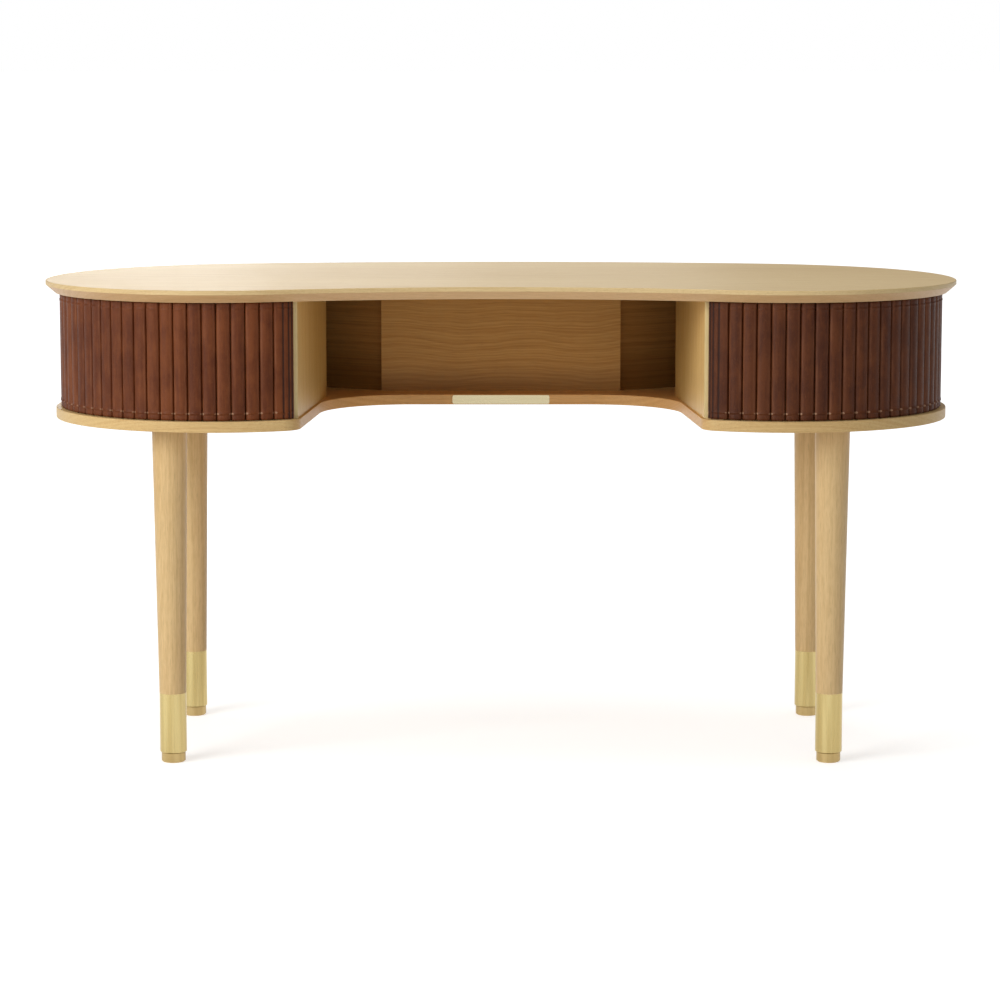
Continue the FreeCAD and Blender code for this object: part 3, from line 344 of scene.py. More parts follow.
def leather(name, deep, pale):
    """Red brown hide, mottled by hand dyeing, each slat a little different, with a fine pebble."""
    finish = Finish(name)
    own = finish.attribute("slat_tone")
    tuck_and_highlight = finish.attribute("tuck_and_highlight")
    crease = finish.attribute("crease")
    rub_and_highlight = finish.attribute("rub_and_highlight")
    clouds = finish.noise(finish.stretched("z", *HIDE_CLOUD), detail=5.0, rough=0.62)
    streaks = finish.noise(finish.stretched("z", *HIDE_STREAK), detail=3.0, rough=0.6)
    specks = finish.noise(finish.stretched("z", *HIDE_SPECK), detail=3.0, rough=0.6)
    pebble = finish.cells(finish.coordinates(), HIDE_PEBBLE)
    dyed = finish.sum("MULTIPLY", clouds, CLOUD_PART)
    mottle = finish.sum("ADD", dyed, finish.sum("MULTIPLY", streaks, STREAK_PART))
    apart = finish.sum("SUBTRACT", own, 0.5)
    mottle = finish.sum("ADD", mottle, finish.sum("MULTIPLY", apart, OWN_PART))
    base = finish.mix(finish.span(mottle, *MOTTLE_SPAN), deep, pale)
    base = finish.mix(finish.span(specks, *PALE_SPECKS), base, PALE_SPECK)
    base = finish.mix(finish.span(specks, *DARK_SPECKS), base, DARK_SPECK)
    # Pale rubbed shoulders on each slat: partly wear, partly a painted highlight along the shoulders
    wear_and_highlight = finish.sum("MULTIPLY", rub_and_highlight, finish.span(streaks, *WEAR_AND_HIGHLIGHT_STREAKS))
    base = finish.mix(wear_and_highlight, base, WEAR_AND_HIGHLIGHT_HIDE)
    # Pale tucks at the slats' lower corners: a painted highlight, weaker at the far corner
    base = finish.mix(finish.span(tuck_and_highlight, *TUCK_HIGHLIGHT_SHOWS), base, TUCK_HIGHLIGHT_HIDE)
    # Dark creases between the lead's ribs: painted shade, on top of their shallow real dip
    base = finish.mix(finish.span(crease, *CREASE_SHADE_SHOWS), base, CREASE_SHADE_HIDE)
    relief = finish.sum("ADD", finish.span(pebble, *PEBBLE_SPAN), finish.sum("MULTIPLY", specks, 0.8))
    return finish.set(
        Base_Color=base,
        Roughness=finish.span(specks, *BROAD_SPAN, 0.40, 0.54),
        Normal=finish.bump(relief, HIDE_RELIEF, 0.5),
        Specular_IOR_Level=HIDE_SHINE,
    )


THREADS_PER_METRE = 900.0
SLUBS_PER_METRE = 160.0
CLOTH_RELIEF = 0.0002


def canvas_cloth(name):
    """Plain woven cloth, its threads laid out on the cloth's own map in metres."""
    finish = Finish(name)
    cloth = finish.node("UVMap", uv_map="cloth").outputs["UV"]
    split = finish.node("SeparateXYZ")
    finish.feed(split.inputs[0], cloth)
    turns = THREADS_PER_METRE * math.tau
    warp = finish.sum("SINE", finish.sum("MULTIPLY", split.outputs["X"], turns))
    weft = finish.sum("SINE", finish.sum("MULTIPLY", split.outputs["Y"], turns))
    weave = finish.sum("MULTIPLY", warp, weft)
    slub = finish.noise(cloth, SLUBS_PER_METRE, detail=4.0, rough=0.6)
    woven = finish.span(weave, -1.0, 1.0, 0.0, 0.6)
    body = finish.sum("ADD", woven, finish.span(slub, *CLOUD_SPAN, 0.0, 0.5))
    return finish.set(
        Base_Color=finish.mix(body, tone(88, 72, 54), tone(148, 128, 100)),
        Roughness=finish.span(weave, -1.0, 1.0, 0.82, 0.95),
        Normal=finish.bump(weave, CLOTH_RELIEF, 0.8),
    )


# Marks of brass to the metre, along the brushing and across it, and of steel and mouldings all ways
BRUSHED_LINES = (9.0, 2600.0)
TARNISH_AND_REFLECTION_BANDS = (3.0, 95.0)
STEEL_MOTTLE = 300.0
MOULDED_MOTTLE = 240.0
BRASS_RELIEF = 0.00002


def brass(name, color, shade, along="z", gloss=0.26):
    """Satin brass with fine lines brushed along it, and streaks of tone along it that are partly uneven
    tarnish and partly painted reflection bands.
    """
    finish = Finish(name)
    brushed = finish.noise(finish.stretched(along, *BRUSHED_LINES), detail=2.0, rough=0.6)
    cloud = finish.noise(finish.stretched(along, *TARNISH_AND_REFLECTION_BANDS), detail=2.0, rough=0.5)
    # Streaks of darker tone along the brushing: partly tarnish, partly painted reflection bands
    tarnish_and_reflection = finish.span(cloud, 0.36, 0.66, 0.1, 0.7)
    body = finish.sum("ADD", finish.span(brushed, *CLOUD_SPAN, 0.0, 0.2), tarnish_and_reflection)
    return finish.set(
        Base_Color=finish.mix(body, color, shade),
        Metallic=1.0,
        Roughness=finish.span(brushed, *BROAD_SPAN, gloss - 0.05, gloss + 0.07),
        Normal=finish.bump(brushed, BRASS_RELIEF, 0.3),
    )


def steel(name):
    """Plated steel fixings."""
    finish = Finish(name)
    cloud = finish.noise(finish.coordinates(), STEEL_MOTTLE, detail=4.0, rough=0.6)
    base = finish.mix(finish.span(cloud, *CLOUD_SPAN), tone(176, 176, 172), tone(138, 138, 136))
    return finish.set(Base_Color=base, Metallic=1.0, Roughness=finish.span(cloud, *CLOUD_SPAN, 0.3, 0.45))


def moulded(name, pale, deep, rough):
    """Moulded plastic or rubber with a faint mottle."""
    finish = Finish(name)
    cloud = finish.noise(finish.coordinates(), MOULDED_MOTTLE, detail=4.0, rough=0.6)
    base = finish.mix(finish.span(cloud, *CLOUD_SPAN), pale, deep)
    uneven = finish.span(cloud, *CLOUD_SPAN, rough - 0.06, rough + 0.06)
    return finish.set(Base_Color=base, Roughness=uneven)


# Ways in which growth lines follow each other through the boards and legs
FLAT_BOARD = (0.0, 1.0, 3.0)
UPRIGHT_BOARD = (0.0, 0.6, 1.0)
LEVEL_BOARD = (0.0, 0.0, 1.0)
UPRIGHT_GRAIN = (0.5, 1.0, 0.0)
TURNED_LEG = (1.0, 0.55, 0.0)

# Tones of oak, a pale and a deep one, and parts of another tone; many of them are painted shade or painted
# light, as said at each
TOP_TONES = (tone(224, 196, 142), tone(200, 164, 106))
# Bevel under the top's lip: darker and pinker than the top, painted shade on a face that turns downwards
BEVEL_SHADE_TONES = (tone(218, 178, 126), tone(194, 148, 93))
SHELF_TONES = (tone(222, 190, 132), tone(194, 150, 90))
# Shelf's middle, in the kneehole under the top: warmer and darker, painted shade
RECESS_SHADE_TONES = (tone(222, 174, 112), tone(194, 138, 74))
# One oak in two tones for the dividers: lighter on the left, painted light, and darker on the right, painted
# shade
DIVIDER_LIT_AND_SHADED_TONES = {
    "left": (tone(200, 162, 94), tone(176, 130, 64)),
    "right": (tone(174, 139, 79), tone(153, 110, 53)),
}
# Dividers lighter at the front: painted light, giving way to painted shade further back
DIVIDER_FRONT_LIGHT_TONES = (tone(232, 197, 130), tone(211, 167, 98))
# Pale band on each divider's front edge: painted light on the edge that faces the lamps
BAND_HIGHLIGHT_TONES = (tone(250, 226, 166), tone(236, 206, 140))
# Center panel deep in the kneehole: darker and more saturated than the shelf's oak, painted shade, and
# darker again at its foot, painted shade under the shelf's ledge
PANEL_SHADE_TONES = (tone(202, 153, 79), tone(166, 113, 47))
PANEL_FOOT_SHADE_TONES = (tone(170, 126, 62), tone(138, 92, 36))
# Rear walls in the niches: dark oak, painted shade, and darker towards the foot, painted shade
WALL_SHADE_TONES = (tone(186, 136, 74), tone(146, 98, 44))
WALL_FOOT_SHADE_TONES = (tone(142, 100, 50), tone(111, 72, 28))
BACK_TONES = (tone(216, 188, 140), tone(184, 146, 96))
LEG_TONES = (tone(228, 195, 141), tone(199, 161, 103))
# Painted shade on the bevel, by height
BEVEL_SHADE_TRIM = (upward, 0.7576, 0.7582, BEVEL_SHADE_TONES)
# Painted light on the dividers' front edges
BAND_HIGHLIGHT_TRIM = (backward, -0.2804, -0.2800, BAND_HIGHLIGHT_TONES)
# Painted shade at the panel's foot
PANEL_FOOT_SHADE_TRIM = (upward, 0.562, 0.615, PANEL_FOOT_SHADE_TONES)
# Painted shade at the rear walls' foot
WALL_FOOT_SHADE_TRIM = (upward, 0.565, 0.670, WALL_FOOT_SHADE_TONES)
# Painted light at the dividers' front, fading into their darker tones towards the back
DIVIDER_DEPTH_SHADE_TRIM = (backward, -0.27, -0.02, DIVIDER_FRONT_LIGHT_TONES)
# Painted shade on the shelf's middle, and the shelf's own tones again towards its back, where that painted
# shade ends
RECESS_SHADE_TRIM = (aside, 0.300, 0.335, RECESS_SHADE_TONES)
RECESS_SHADE_REAR_END = (forward, -0.20, -0.12, SHELF_TONES)

OAK_TOP = oak("oak_top", TOP_TONES, "x", FLAT_BOARD, figure=0.40, shine=0.5, trims=[BEVEL_SHADE_TRIM])
OAK_SHELF = oak("oak_shelf", SHELF_TONES, "x", FLAT_BOARD, figure=0.45, trims=[RECESS_SHADE_TRIM, RECESS_SHADE_REAR_END])
# Dividers of one oak, with painted light on the left one and painted shade on the right one
OAK_DIVIDERS_LIT_AND_SHADED = {}
for side, tones in DIVIDER_LIT_AND_SHADED_TONES.items():
    OAK_DIVIDERS_LIT_AND_SHADED[side] = oak(
        side + "_divider_oak", tones, "z", UPRIGHT_GRAIN, figure=0.35, trims=[DIVIDER_DEPTH_SHADE_TRIM, BAND_HIGHLIGHT_TRIM])
OAK_PANEL = oak(
    "oak_panel", PANEL_SHADE_TONES, "x", UPRIGHT_BOARD, rings=240.0, wander=12.0, wave=5.0, figure=0.42,
    trims=[PANEL_FOOT_SHADE_TRIM])
OAK_WALL = oak("oak_wall", WALL_SHADE_TONES, "xy", LEVEL_BOARD, rings=150.0, figure=0.4, trims=[WALL_FOOT_SHADE_TRIM])
OAK_BACK = oak("oak_back", BACK_TONES, "xy", LEVEL_BOARD, rings=110.0, figure=0.5)
OAK_LEG = oak("oak_leg", LEG_TONES, "z", TURNED_LEG, rings=150.0, fleck=0.13, shine=0.35)
BENT_PLY = bent_ply("bent_ply")
SLAT_WOOD = slat_wood("slat_wood")
# One hide in two tones: paler on the left door, painted light, and darker on the right door, painted shade
LEATHERS_LIT_AND_SHADED = {
    "left": leather("left_brown_leather_painted_light", tone(88, 40, 13), tone(117, 61, 27)),
    "right": leather("right_brown_leather_painted_shade", tone(70, 30, 8), tone(95, 48, 18)),
}
CANVAS = canvas_cloth("canvas_backing")
BRASS = brass("satin_brass", tone(212, 193, 136), tone(189, 167, 110))
BRASS_FOOT = brass("foot_brass", tone(202, 178, 126), tone(182, 156, 104), gloss=0.32)
BRASS_PLATE = brass("pale_brass", tone(213, 200, 163), tone(206, 192, 154), along="x", gloss=0.30)
STEEL = steel("fixing_steel")
NYLON = moulded("glide_plastic", tone(222, 218, 206), tone(204, 198, 184), 0.45)
RUBBER = moulded("stop_rubber", tone(92, 62, 40), tone(72, 48, 30), 0.75)


def paint(material, *names):
    """Give CAD pieces their finish."""
    for name in names:
        for material_slot in nodes[name].material_slots:
            material_slot.material = material


paint(OAK_TOP, "desk_top")
paint(OAK_SHELF, "lower_shelf")
paint(OAK_PANEL, "center_panel")
paint(OAK_BACK, "back_panel")
for side in SIDES:
    paint(OAK_DIVIDERS_LIT_AND_SHADED[side], side + "_divider")
    paint(OAK_WALL, side + "_rear_wall")
    paint(BENT_PLY, side + "_liner")
    paint(NYLON, side + "_glide_strip")
    paint(RUBBER, side + "_track_stop")
    paint(SLAT_WOOD, side + "_lead_rail", side + "_slats")
for leg in LEGS:
    paint(OAK_LEG, leg + "_leg")
    paint(BRASS, leg + "_ferrule")
    paint(BRASS_FOOT, leg + "_foot")
paint(STEEL, "leg_bolts", "leg_nuts", "foot_inserts")
paint(SLAT_WOOD, "top_dowels")
paint(BRASS_PLATE, "brass_plate", "plate_pins")


def link(name, data):
    made = bpy.data.objects.new(name, data)
    bpy.context.scene.collection.objects.link(made)
    return made


def dress(piece, body, slot, *replaced):
    """Hang a finished piece on its body in the place of the solids it stands for."""
    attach(piece, body)
    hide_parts(*replaced)


class Pattern:
    """A Geometry Nodes tree with named inputs that repeats shapes and ends as one plain mesh."""

    def __init__(self, name):
        self.tree = bpy.data.node_groups.new(name, "GeometryNodeTree")
        self.given = self.tree.nodes.new("NodeGroupInput")
        self.identifiers = {}

    def ask(self, name, kind):
        """Add a named input and give its socket inside the tree."""
        entry = self.tree.interface.new_socket(name, in_out="INPUT", socket_type="NodeSocket" + kind)
        self.identifiers[name] = entry.identifier
        return self.given.outputs[name]

    def node(self, kind, inputs, **settings):
        """Add a node with its inputs, and give its first output."""
        made = self.tree.nodes.new(kind)
        for key, value in settings.items():
            setattr(made, key, value)
        for key, value in inputs.items():
            if isinstance(value, bpy.types.NodeSocket):
                self.tree.links.new(value, made.inputs[key])
            else:
                made.inputs[key].default_value = value
        return made.outputs[0]

    def sum(self, operation, first, second):
        return self.node("ShaderNodeMath", {0: first, 1: second}, operation=operation)

    def copies(self, points, shape, angle):
        """A copy of a shape at each point, turned about the upright axis."""
        turn = self.node("FunctionNodeAxisAngleToRotation", {"Axis": (0.0, 0.0, 1.0), "Angle": angle})
        source = self.tree.nodes.new("GeometryNodeObjectInfo")
        self.tree.links.new(shape, source.inputs["Object"])
        source.inputs["As Instance"].default_value = True
        inputs = {"Points": points, "Instance": source.outputs["Geometry"], "Rotation": turn}
        return self.node("GeometryNodeInstanceOnPoints", inputs)

    def random(self, seed):
        """A number from 0 to 1 for each copy."""
        made = self.tree.nodes.new("FunctionNodeRandomValue")
        self.tree.links.new(self.node("GeometryNodeInputIndex", {}), made.inputs["ID"])
        self.tree.links.new(seed, made.inputs["Seed"])
        return next(socket for socket in made.outputs if socket.type == "VALUE")

    def close(self, geometry, material):
        self.tree.interface.new_socket("Geometry", in_out="OUTPUT", socket_type="NodeSocketGeometry")
        finished = self.node("GeometryNodeSetMaterial", {"Geometry": geometry, "Material": material})
        output = self.tree.nodes.new("NodeGroupOutput")
        self.tree.links.new(finished, output.inputs[0])
        return self

    def run(self, name, points, values):
        """Finished mesh of the pattern on the points, as an object of its own."""
        base = bpy.data.meshes.new(name)
        base.from_pydata(points, [], [])
        piece = link(name, base)
        modifier = piece.modifiers.new(name, "NODES")
        modifier.node_group = self.tree
        for key, value in values.items():
            modifier[self.identifiers[key]] = value
        graph = bpy.context.evaluated_depsgraph_get()
        mesh = bpy.data.meshes.new_from_object(piece.evaluated_get(graph))
        piece.modifiers.remove(modifier)
        piece.data = mesh
        return piece


# Leather over one slat: heights of its rings of points above the foot, and its soft relief
HEM_HEIGHTS = [0.0, 0.0004, 0.0014, 0.0035, 0.0058, 0.0070, 0.0082, 0.0094, 0.0106, 0.0118, 0.0132, 0.0160]
BODY_LEVELS = 9
HEM_RIDGE = 0.0106
HEM_CREASE = 0.0082
RIDGE_RISE = 0.0009
CREASE_SINK = 0.0005
RIDGE_WIDTH = 0.0013
TOP_SHARE = 0.7
FOLD_ROUND = 0.0014
SIDE_SHARE = 0.25
SIDE_STEPS = 2
CORNER_STEPS = 5
FACE_STEPS = 6
LEAD_STEPS = 20
# Creases between the lead's ribs: a shallow dip, darkened in the leather's colour as painted shade
RIB_ENDS = [0.43, 0.71, 0.88]
RIB_DEPTH = 0.0009
RIB_WIDTH = 0.0017
# Where the pale rubbed shoulders lie, by the way the hide faces: partly wear, partly painted highlight
RUB_AND_HIGHLIGHT_LEAN = 0.58
RUB_AND_HIGHLIGHT_SPREAD = 0.16
# Tucks at the slats' lower corners: a small raised fold with a painted highlight, the far one weaker as
# painted shade
TUCK_SHARE = 0.86
TUCK_FAR_SHADED_SHARE = 0.7
TUCK_SPREAD = 0.0019
TUCK_RISE = 0.0006


def hide_levels():
    """Heights of the rings of points up a slat, close together at both hems."""
    low = HEM_HEIGHTS[-1]
    rise = (SLAT_HEIGHT - 2 * low) / (BODY_LEVELS + 1)
    middle = [low + rise * (count + 1) for count in range(BODY_LEVELS)]
    return HEM_HEIGHTS + middle + [SLAT_HEIGHT - height for height in reversed(HEM_HEIGHTS)]


def hide_swell(height):
    """How far the hide stands out at a height: a ridge and a crease at each hem, and folded ends."""
    swell = 0.0
    for reach, share in ((height, 1.0), (SLAT_HEIGHT - height, TOP_SHARE)):
        swell += share * RIDGE_RISE * math.exp(-((reach - HEM_RIDGE) / RIDGE_WIDTH) ** 2)
        swell -= share * CREASE_SINK * math.exp(-((reach - HEM_CREASE) / RIDGE_WIDTH) ** 2)
        if reach < FOLD_ROUND:
            swell -= FOLD_ROUND - math.sqrt(FOLD_ROUND ** 2 - (FOLD_ROUND - reach) ** 2)
    return swell


def hide_section(half, crown, inset, steps):
    """Points round the open section of a slat's cover, each with the way it faces."""
    face = SLAT_FACE - inset
    edge = half - inset
    bend = SLAT_ROUND - inset
    bow = crown - inset
    corner_y = edge - bend
    lean = math.asin(corner_y / (bow - bend))
    corner_x = face - bow + (bow - bend) * math.cos(lean)
    near = []
    for step in range(SIDE_STEPS):
        near.append((SLAT_BACK + (corner_x - SLAT_BACK) * step / SIDE_STEPS, edge, 0.0, 1.0))
    for step in range(CORNER_STEPS + 1):
        angle = math.pi / 2 + (lean - math.pi / 2) * step / CORNER_STEPS
        out_way = math.cos(angle)
        across_way = math.sin(angle)
        near.append((corner_x + bend * out_way, corner_y + bend * across_way, out_way, across_way))
    for step in range(1, steps):
        angle = lean * (1 - step / steps)
        out_way = math.cos(angle)
        across_way = math.sin(angle)
        near.append((face - bow + bow * out_way, bow * across_way, out_way, across_way))
    far = [(out, -across, out_way, -across_way) for out, across, out_way, across_way in reversed(near)]
    return near + [(face, 0.0, 1.0, 0.0)] + far


def rib_crease(reach, width):
    """How far a place belongs to a crease between the lead's ribs, at a reach from its first edge."""
    return sum(math.exp(-((reach - end * width) / RIB_WIDTH) ** 2) for end in RIB_ENDS)


def hem_tuck_and_highlight(height, across, half):
    """How far a place belongs to the small tucks at the lower corners of a slat, the far one weaker; their
    pale tone is a painted highlight.
    """
    up = (height - HEM_RIDGE) / TUCK_SPREAD
    left = (across + TUCK_SHARE * half) / TUCK_SPREAD
    right = (across - TUCK_SHARE * half) / TUCK_SPREAD
    return math.exp(-up ** 2 - left ** 2) + TUCK_FAR_SHADED_SHARE * math.exp(-up ** 2 - right ** 2)


def slat_hide(name, angle, crown, steps, ribs=0):
    """Leather over a slat that fills an angle of the ring, drawn along +X round the ring's middle.

    ribs is 0 for a plain slat, else the side of the narrow ribs, -1 or 1 across the slat.
    """
    half = SLAT_BACK * math.tan(math.radians(angle / 2)) - SLAT_GAP / 2
    outside = hide_section(half, crown, 0.0, steps)
    inside = list(reversed(hide_section(half, crown, LEATHER_THICK, steps)))
    shell = bmesh.new()
    rings = []
    tucks = []
    creases = []
    rub_and_highlight_shares = []
    for height in hide_levels():
        swell = hide_swell(height)
        ring = []
        for out, across, out_way, across_way in outside:
            tuck_and_highlight = hem_tuck_and_highlight(height, across, half)
            tucks.append(tuck_and_highlight)
            crease = abs(ribs) * rib_crease(half + ribs * across, 2 * half)
            creases.append(crease)
            rub_and_highlight_shares.append(math.exp(-((abs(across_way) - RUB_AND_HIGHLIGHT_LEAN) / RUB_AND_HIGHLIGHT_SPREAD) ** 2))
            stand = swell + TUCK_RISE * tuck_and_highlight - RIB_DEPTH * crease
            side = across * out / SLAT_BACK + SIDE_SHARE * swell * across_way
            ring.append(shell.verts.new((out + stand * out_way, side, SLAT_FOOT + height)))
        for out, across, out_way, across_way in inside:
            ring.append(shell.verts.new((out, across, SLAT_FOOT + height)))
            tucks.append(0.0)
            creases.append(0.0)
            rub_and_highlight_shares.append(0.0)
        rings.append(ring)
    total = len(rings[0])
    for low, high in zip(rings, rings[1:]):
        for count in range(total):
            follow = (count + 1) % total
            shell.faces.new((low[count], low[follow], high[follow], high[count]))
    for ring in (rings[0], rings[-1]):
        for count in range(len(outside) - 1):
            shell.faces.new((ring[count], ring[count + 1], ring[total - 2 - count], ring[total - 1 - count]))
    bmesh.ops.recalc_face_normals(shell, faces=shell.faces)
    mesh = bpy.data.meshes.new(name)
    shell.to_mesh(mesh)
    shell.free()
    for mark, values in (("tuck_and_highlight", tucks), ("crease", creases), ("rub_and_highlight", rub_and_highlight_shares)):
        mesh.attributes.new(mark, "FLOAT", "POINT").data.foreach_set("value", values)
    return mesh


COVER_SEEDS = {"left": 4, "right": 11}
RUMPLE = 0.0004
RUMPLE_SCALE = 42.0
FRONT_ANGLE = 270.0
SHARP_ANGLE = math.radians(50.0)


def tambour_pattern():
    """Covers round the ring: a wide one that leads, and the others after it at an even pitch."""
    pattern = Pattern("tambour_covers")
    slat = pattern.ask("Slat cover", "Object")
    lead = pattern.ask("Lead cover", "Object")
    count = pattern.ask("Count", "Int")
    pitch = pattern.ask("Pitch", "Float")
    first = pattern.ask("First angle", "Float")
    lead_turn = pattern.ask("Lead angle", "Float")
    middle = pattern.ask("Ring middle", "Vector")
    rumple = pattern.ask("Rumple", "Float")
    seed = pattern.ask("Seed", "Int")
    skin = pattern.ask("Leather", "Material")
    index = pattern.node("GeometryNodeInputIndex", {})
    angle = pattern.sum("ADD", first, pattern.sum("MULTIPLY", index, pitch))
    row = pattern.node("GeometryNodeMeshLine", {"Count": count, "Offset": (0.0, 0.0, 0.0)})
    single = pattern.node("GeometryNodeMeshLine", {"Count": 1, "Offset": (0.0, 0.0, 0.0)})
    joined = pattern.tree.nodes.new("GeometryNodeJoinGeometry")
    for copies in (pattern.copies(row, slat, angle), pattern.copies(single, lead, lead_turn)):
        pattern.tree.links.new(copies, joined.inputs[0])
    own = {"Geometry": joined.outputs[0], "Name": "slat_tone", "Value": pattern.random(seed)}
    toned = pattern.node("GeometryNodeStoreNamedAttribute", own, data_type="FLOAT", domain="INSTANCE")
    solid = pattern.node("GeometryNodeRealizeInstances", {"Geometry": toned})
    smooth = pattern.node("GeometryNodeSetShadeSmooth", {"Geometry": solid})
    ripple = pattern.node("ShaderNodeTexNoise", {"Scale": RUMPLE_SCALE, "Detail": 2.0})
    lift = pattern.sum("MULTIPLY", pattern.sum("SUBTRACT", ripple, 0.5), rumple)
    outward = pattern.tree.nodes.new("ShaderNodeVectorMath")
    outward.operation = "SCALE"
    pattern.tree.links.new(pattern.node("GeometryNodeInputNormal", {}), outward.inputs[0])
    pattern.tree.links.new(lift, outward.inputs["Scale"])
    uneven = pattern.node("GeometryNodeSetPosition", {"Geometry": smooth, "Offset": outward.outputs[0]})
    placed = pattern.node("GeometryNodeTransform", {"Geometry": uneven, "Translation": middle})
    return pattern.close(placed, skin)


def make_covers():
    """Leather over the lead and the slats of both doors."""
    slat = link("slat_cover", slat_hide("slat_cover", PITCH_ANGLE, SLAT_CROWN, FACE_STEPS))
    pattern = tambour_pattern()
    for side, sign in SIDES.items():
        lead = link("lead_cover", slat_hide("lead_cover", LEAD_ANGLE, LEAD_CROWN, LEAD_STEPS, -sign))
        slats_start = LEAD_ANGLE - CLOSED_ANGLE
        values = {
            "Slat cover": slat,
            "Lead cover": lead,
            "Count": SLAT_COUNT,
            "Pitch": math.radians(sign * PITCH_ANGLE),
            "First angle": math.radians(FRONT_ANGLE + sign * (slats_start + PITCH_ANGLE / 2)),
            "Lead angle": math.radians(FRONT_ANGLE + sign * (LEAD_ANGLE / 2 - CLOSED_ANGLE)),
            "Ring middle": (sign * PEDESTAL_X, PEDESTAL_Y, 0.0),
            "Rumple": RUMPLE,
            "Seed": COVER_SEEDS[side],
            "Leather": LEATHERS_LIT_AND_SHADED[side],
        }
        covers = pattern.run(side + "_covers", [], values)
        covers.data.set_sharp_from_angle(angle=SHARP_ANGLE)
        dress(covers, side + "_tambour", "brown_leather", side + "_slat_leather", side + "_lead_leather")
        bpy.data.objects.remove(lead)
    bpy.data.objects.remove(slat)


CANVAS_STEPS = 4
CANVAS_ROWS = 8
CANVAS_DIP = 0.0003
DIP_SHARPNESS = 8


def canvas_place(sign, angle, radius, height):
    """Place of a point of the cloth on the door's ring."""
    turn = math.radians(FRONT_ANGLE + sign * angle)
    x = sign * PEDESTAL_X + radius * math.cos(turn)
    return (x, PEDESTAL_Y + radius * math.sin(turn), SLAT_FOOT + height)


def make_canvas(side):
    """Cloth glued behind the slats, drawn in a little where it bridges from one slat to the next."""
    sign = SIDES[side]
    door_angle = LEAD_ANGLE + PITCH_ANGLE * SLAT_COUNT
    columns = round(door_angle / PITCH_ANGLE * CANVAS_STEPS)
    cloth = bmesh.new()
    chart = cloth.loops.layers.uv.new("cloth")
    spots = {}
    grid = {}
    for column in range(columns + 1):
        along = door_angle * column / columns
        joint = math.cos(math.radians(180.0 * (along - LEAD_ANGLE) / PITCH_ANGLE)) ** DIP_SHARPNESS
        for row in range(CANVAS_ROWS + 1):
            height = SLAT_HEIGHT * row / CANVAS_ROWS
            for layer, radius in (("face", CANVAS_FACE), ("back", CANVAS_BACK - CANVAS_DIP * joint)):
                vert = cloth.verts.new(canvas_place(sign, along - CLOSED_ANGLE, radius, height))
                grid[layer, column, row] = vert
                spots[vert] = (math.radians(along) * CANVAS_FACE, height)

    def patch(*keys):
        face = cloth.faces.new([grid[key] for key in keys])
        for loop in face.loops:
            loop[chart].uv = spots[loop.vert]

    def close_edge(start, end):
        patch(("face", *start), ("face", *end), ("back", *end), ("back", *start))

    for column in range(columns):
        for row in range(CANVAS_ROWS):
            for layer in ("face", "back"):
                near = (layer, column, row)
                far = (layer, column + 1, row + 1)
                patch(near, (layer, column + 1, row), far, (layer, column, row + 1))
        for row in (0, CANVAS_ROWS):
            close_edge((column, row), (column + 1, row))
    for row in range(CANVAS_ROWS):
        for column in (0, columns):
            close_edge((column, row), (column, row + 1))
    bmesh.ops.recalc_face_normals(cloth, faces=cloth.faces)
    mesh = bpy.data.meshes.new(side + "_cloth")
    cloth.to_mesh(mesh)
    cloth.free()
    mesh.materials.append(CANVAS)
    piece = link(side + "_cloth", mesh)
    dress(piece, side + "_tambour", "canvas_backing", side + "_canvas")


def turned_mesh(name, profile, sides):
    """Round mesh from radius and height pairs, closed on its axis at both ends."""
    shape = bmesh.new()
    rings = []
    for radius, height in profile:
        ring = []
        for count in range(sides):
            angle = math.tau * count / sides
            ring.append(shape.verts.new((radius * math.cos(angle), radius * math.sin(angle), height)))
        rings.append(ring)
    for low, high in zip(rings, rings[1:]):
        for count in range(sides):
            follow = (count + 1) % sides
            shape.faces.new((low[count], low[follow], high[follow], high[count]))
    shape.faces.new(rings[0])
    shape.faces.new(rings[-1])
    bmesh.ops.recalc_face_normals(shape, faces=shape.faces)
    mesh = bpy.data.meshes.new(name)
    shape.to_mesh(mesh)
    shape.free()
    return mesh


# Driver's cross: half width, half length and height, at its mouth and at its point
CROSS_MOUTH = (0.0006, 0.0027, -0.001)
CROSS_POINT = (0.0004, 0.0014, 0.0022)
CROSS_CORNERS = [(1, 1), (-1, 1), (-1, -1), (1, -1)]


def cross_cutter(name):
    """Tapered cross that presses the driver's recess into a screw head, its point upwards."""
    shape = bmesh.new()
    for turn in (0.0, math.pi / 2):
        lower = []
        upper = []
        for across, along in CROSS_CORNERS:
            for corners, (wide, reach, height) in ((lower, CROSS_MOUTH), (upper, CROSS_POINT)):
                x = across * reach
                y = along * wide
                turned_x = x * math.cos(turn) - y * math.sin(turn)
                turned_y = x * math.sin(turn) + y * math.cos(turn)
                corners.append(shape.verts.new((turned_x, turned_y, height)))
        for count in range(len(CROSS_CORNERS)):
            follow = (count + 1) % len(CROSS_CORNERS)
            shape.faces.new((lower[count], lower[follow], upper[follow], upper[count]))
        shape.faces.new(lower)
        shape.faces.new(upper)
    bmesh.ops.recalc_face_normals(shape, faces=shape.faces)
    mesh = bpy.data.meshes.new(name)
    shape.to_mesh(mesh)
    shape.free()
    return mesh


def screw_pattern():
    """A screw at each place, each driven home at its own angle."""
    pattern = Pattern("shelf_screw_row")
    places = pattern.ask("Places", "Geometry")
    screw = pattern.ask("Screw", "Object")
    seed = pattern.ask("Seed", "Int")
    metal = pattern.ask("Steel", "Material")
    angle = pattern.sum("MULTIPLY", pattern.random(seed), math.tau)
    solid = pattern.node("GeometryNodeRealizeInstances", {"Geometry": pattern.copies(places, screw, angle)})
    return pattern.close(solid, metal)


